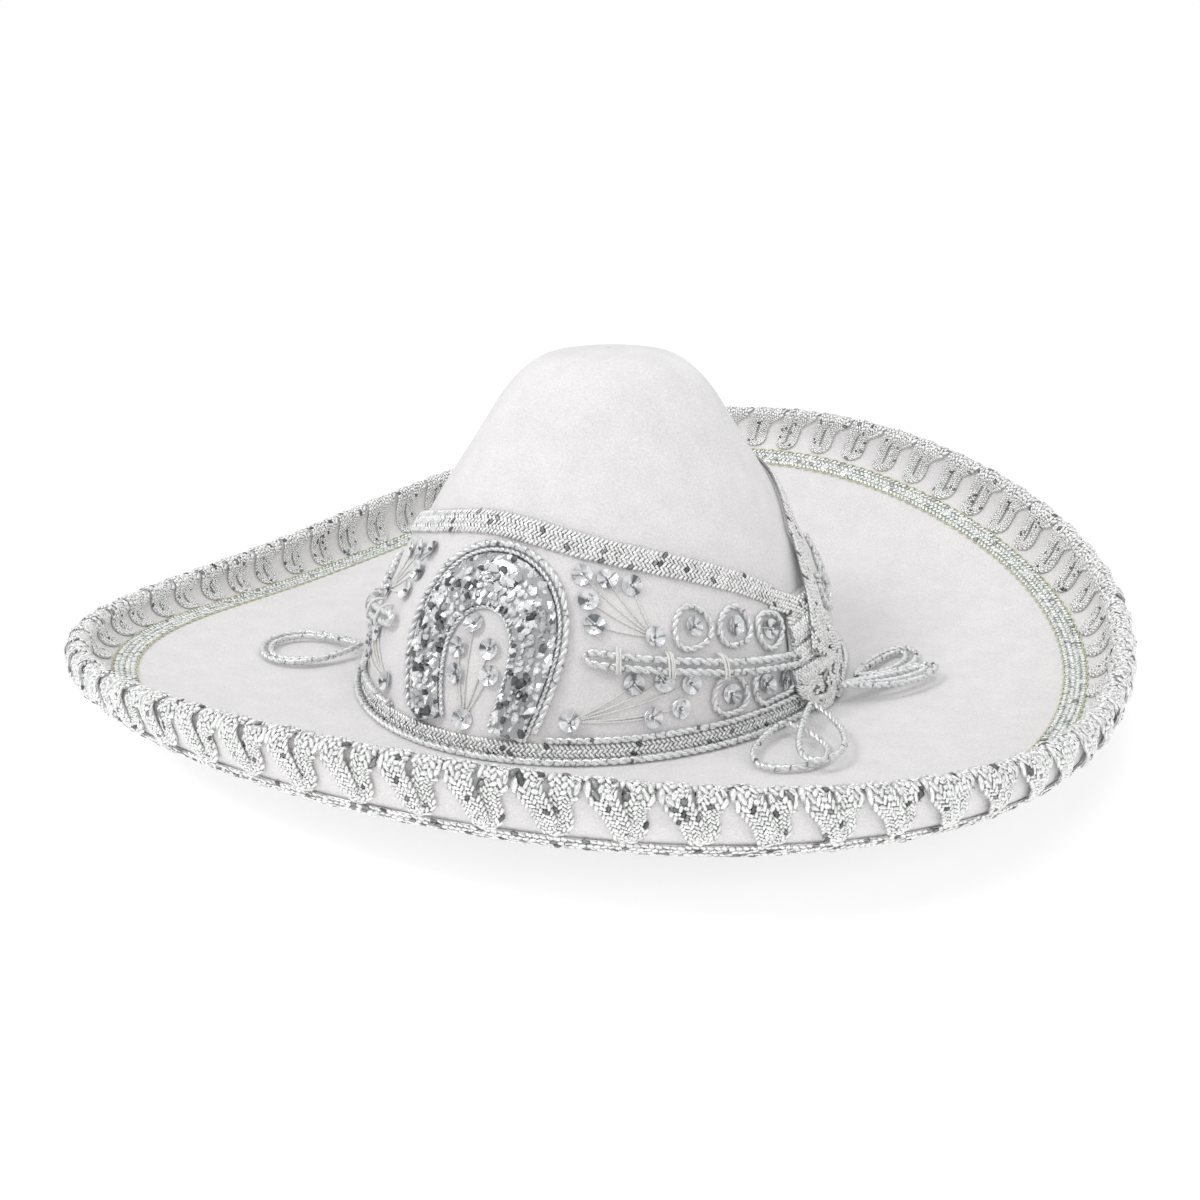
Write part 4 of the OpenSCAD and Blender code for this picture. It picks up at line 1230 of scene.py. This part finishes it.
# Straps over and under each other in the knot, as (across from -1 to 1, height)
WRAPS = [[(-0.98, 31), (-0.4, 33.4), (0.35, 32.6), (0.95, 30)],
         [(-1.0, 23), (-0.4, 26), (0.4, 25), (1.0, 22)],
         [(-1.0, 16), (-0.3, 18.5), (0.4, 17.6), (1.0, 15)]]
LOBES = [[(-0.9, 13), (-0.95, 6), (-0.5, 3.4), (-0.15, 7), (-0.3, 14)],
         [(0.2, 14), (0.1, 6.5), (0.5, 3.4), (0.92, 6.4), (0.85, 14)]]


def knot_row(v, column):
    return np.interp(v, KNOT_ROWS[:, 0], KNOT_ROWS[:, column])


def knot_place(side):
    """Places on the knot: u from -1 to 1 across it, v is the height."""

    def place(p):
        u, v = p[..., 0], p[..., 1]
        half = knot_row(v, 1) * np.where(u < 0, FRONT_WIDENING, 1)
        outer, inner = knot_row(v, 2) - 1.6, knot_row(v, 3)
        off = inner + (outer - inner) * np.sqrt(np.clip(1 - 0.8 * u * u, 0, 1))
        return on_crown(side * (90 + u * half), np.clip(v, 0.2, 60), off + p[..., 2])
    return place


def side_knot(side, hand):
    place = knot_place(side)
    shape = Shape("side_knot_" + hand, braid_metal, "silver_braid")
    v = np.linspace(KNOT_FOOT, KNOT_TOP, 40)[:, None]
    u = np.linspace(-1, 1, 25)[None]
    under = on_crown(side * (90 + u * knot_row(v, 1)), v, knot_row(v, 3) + 0.2)
    add_shell(shape, place(stack(u, v, -1.2)), under, False, 0.6)
    filling = Track([(0, 3.6), (0, KNOT_TOP)], place)
    width = float(np.median(filling.per_u))
    add_grains(shape, filling, filling.length, 0.92 * width, -0.6, **FILLING_WEAVE)
    for level, group in ((-0.5, WRAPS), (0, LOBES)):
        for line in group:
            track = Track(smooth_curve(line, 8), place)
            add_braid(shape, track, 3.0, level, 2.0, columns=5, **STRAP_WEAVE)
    for half_w, columns, arm in ((3.9, 5, FRONT_ARM), (6.0, 8, BACK_ARM)):
        track = Track(smooth_curve(arm, 8) * (side, 1, 1, 1), crown_place)
        add_braid(shape, track, half_w, -0.5, 1.8, columns=columns, **STRAP_WEAVE)


side_knot(1, "right")
side_knot(-1, "left")

# ---------- Cord loops on the brim ----------

LOOP_LIFT = 2.7  # how much higher a loop leaves the knot than it lies at its tip
LOOP_LIFT_POWER = 1.6
LOOP_FULLNESS = 1.22
LOOP_ROUNDNESS = 0.35


def loop_path(root, tip, half_w, under):
    """A teardrop lying on the brim, raised by one cord for each loop under it."""
    mean_r = CROWN_HALF_W + tip[1] / 2
    start = np.array([0.0, root[1]])
    along = np.array([np.radians(tip[0] - root[0]) * mean_r, tip[1] - root[1]])
    beside = unit(np.array([-along[1], along[0]]))
    a = np.linspace(0, 360, 90, endpoint=False)
    share = (1 - cosd(a)) / 2
    width = half_w * LOOP_FULLNESS * sind(a) * share ** LOOP_ROUNDNESS
    p = start + share[:, None] * along + width[:, None] * beside
    off = CORD_R + 0.8 + under * (2 * CORD_R + 0.4) + LOOP_LIFT * (1 - share) ** LOOP_LIFT_POWER
    return on_brim(root[0] + np.degrees(p[:, 0] / mean_r), p[:, 1], off)


def back_loops(side):
    """Two doubled loops; the inner strand of each lies just inside the outer one."""
    return [((side * 99.5, 11), (side * 118, 31.5), 8, 0),
            ((side * 99.5, 11), (side * 116.4, 28.6), 4.6, 0),
            ((side * 90, 11), (side * 106.5, 41), 6, 1),
            ((side * 90.6, 11), (side * 105.6, 37.6), 2.8, 1)]


# Each loop is its root and tip, as (angle, distance from the crown's foot), half width and loops under it
LOOPS = {"right_front": [((70, 9), (57.5, 38), 12, 0), ((78, 9.5), (60.5, 45), 7.5, 1)],
         "left_front": [((-64.5, 9), (-60.5, 50), 17, 0), ((-64.5, 9), (-60.5, 46.4), 13.4, 0)],
         "right_back": back_loops(1), "left_back": back_loops(-1)}

for which, loops in LOOPS.items():
    loop_shape = Shape(which + "_loops", cord_metal, "silver_cord", body=which + "_cord_loops")
    for loop in loops:
        add_rope(loop_shape, loop_path(*loop), CORD_R, True)

# ---------- Chin cord ----------

STRAND_X = 2.2
STRAND_Z = FOOT_Z + 104
STRAND_FROM = -22
STRAND_TO = 26
WALL_CLEAR = SWEATBAND_IN + CORD_R + 0.6
KNOT_R = 4
TAB_HALF = (4.5, 3.5)
TAB_T = 0.7


def chin_strands():
    """Up both walls of the crown and together along its top, where the slider holds them."""
    shape = Shape("chin_cord", chin_thread, "chin_cord")
    for side in (-1, 1):
        wall = [on_crown(side * 90, z, -WALL_CLEAR) for z in range(4, 85, 16)]
        bend = [(side * 34, -8, STRAND_Z - 7), (side * 12, -19, STRAND_Z - 1)]
        straight = [(side * STRAND_X, STRAND_FROM, STRAND_Z), (side * STRAND_X, STRAND_TO, STRAND_Z)]
        curve = np.vstack([smooth_curve(np.vstack([wall, bend, straight[:1]]), 6), straight[1:]])
        add_rope(shape, curve, CORD_R, plies=3)


def chin_knot():
    """Three turns of cord round the ends of the strands."""
    shape = Shape("chin_cord_knot", chin_thread, "chin_cord")
    centre = np.array([0, STRAND_TO + KNOT_R + 0.1, STRAND_Z])
    a = np.linspace(0, 360, 30, endpoint=False)[:, None]
    for k, axis in enumerate(((1, 0, 0.3), (0, 1, 0.4), (0.6, 0.4, 1))):
        side = unit(np.cross(axis, (0.2, 0.3, 0.9)))
        over = np.cross(unit(np.array(axis)), side)
        ring = centre + 2.4 * (cosd(a) * side + sind(a) * over) + (0, 0, 0.3 * k)
        add_rope(shape, ring, 1.45, True, plies=3)


def chin_tabs():
    """Stitched leather tabs that hold the strands to the sweatband."""
    shape = Shape("chin_cord_tabs", leather, "sweatband")
    stitches = Shape("chin_tab_stitches", white_thread, "thread")
    y, z = [np.linspace(-half, half, n) for half, n in zip(TAB_HALF, (12, 9))]
    y, z = np.meshgrid(y, z, indexing="ij")
    pillow = TAB_T - 0.25 * ((y / TAB_HALF[0]) ** 4 + (z / TAB_HALF[1]) ** 4)
    for side in (-1, 1):
        middle = on_crown(side * 90, 0, -(SWEATBAND_IN + 1.7)) + (0, 0, -0.6)
        add_shell(shape, middle + stack(pillow, y, z), middle + stack(-pillow, y, z), False)
        for way in (-1, 1):
            for k in range(5):
                at = middle + (-side * 0.62, -3.2 + 1.6 * k, way * 2.2)
                arc = smooth_curve([(0, -0.5, 0), (-side * 0.15, 0, 0), (0, 0.5, 0)], 4)
                add_tube(stitches, at + arc, 0.2)


chin_strands()
chin_knot()
chin_tabs()

for drawn in Shape.drawn:
    drawn.make_object()

# ---------- Floor, light and camera ----------

CAMERA_TURN = (69.86, 0, 29.62)
CAMERA_PLACE = (0.2547, -0.4481, 0.1949)
LENS = 37.74
LENS_SHIFT = (-0.0061, 0.0474)
FLOOR_SIZE = 60
FLOOR_GLOW = 0.36
LAMPS = [("key", (-0.9, -1.1, 1.6), 0.7, 10), ("fill", (1.5, -0.6, 0.9), 1.0, 1.5),
         ("top", (0, 0.3, 2), 1.2, 4)]  # name, place, width in metres, power


def pale_floor():
    bpy.ops.mesh.primitive_plane_add(size=FLOOR_SIZE, location=(0, 0, 0))
    floor = bpy.context.object
    floor.name = "floor"
    look = Look("pale floor")
    look.set(Base_Color=(0.8, 0.8, 0.8, 1), Roughness=0.9)
    look.set(Emission_Color=(1, 1, 1, 1), Emission_Strength=FLOOR_GLOW)
    floor.data.materials.append(look.material)


def white_world():
    """White all round: full strength where the camera sees it, a little less as light."""
    world = bpy.data.worlds.new("studio")
    world.use_nodes = True
    nodes, links = world.node_tree.nodes, world.node_tree.links
    seen = nodes.new("ShaderNodeLightPath").outputs["Is Camera Ray"]
    strength = nodes.new("ShaderNodeMapRange")
    strength.inputs["To Min"].default_value = 0.8
    strength.inputs["To Max"].default_value = 1.0
    links.new(seen, strength.inputs["Value"])
    links.new(strength.outputs["Result"], nodes["Background"].inputs["Strength"])
    nodes["Background"].inputs["Color"].default_value = (1, 1, 1, 1)
    bpy.context.scene.world = world


def studio_lamps():
    for name, place, width, power in LAMPS:
        data = bpy.data.lights.new(name, "AREA")
        data.shape, data.size, data.energy = "DISK", width, power
        lamp = bpy.data.objects.new(name, data)
        lamp.location = place
        lamp.rotation_euler = (Vector((0, 0, 0.05)) - Vector(place)).to_track_quat("-Z", "Y").to_euler()
        bpy.context.scene.collection.objects.link(lamp)


def photo_camera():
    data = bpy.data.cameras.new("camera")
    data.lens = LENS
    data.shift_x, data.shift_y = LENS_SHIFT
    camera = bpy.data.objects.new("camera", data)
    camera.location = CAMERA_PLACE
    camera.rotation_euler = Euler([math.radians(a) for a in CAMERA_TURN])
    bpy.context.scene.collection.objects.link(camera)
    bpy.context.scene.camera = camera


pale_floor()
white_world()
studio_lamps()
photo_camera()
bpy.context.scene.view_settings.view_transform = "Standard"
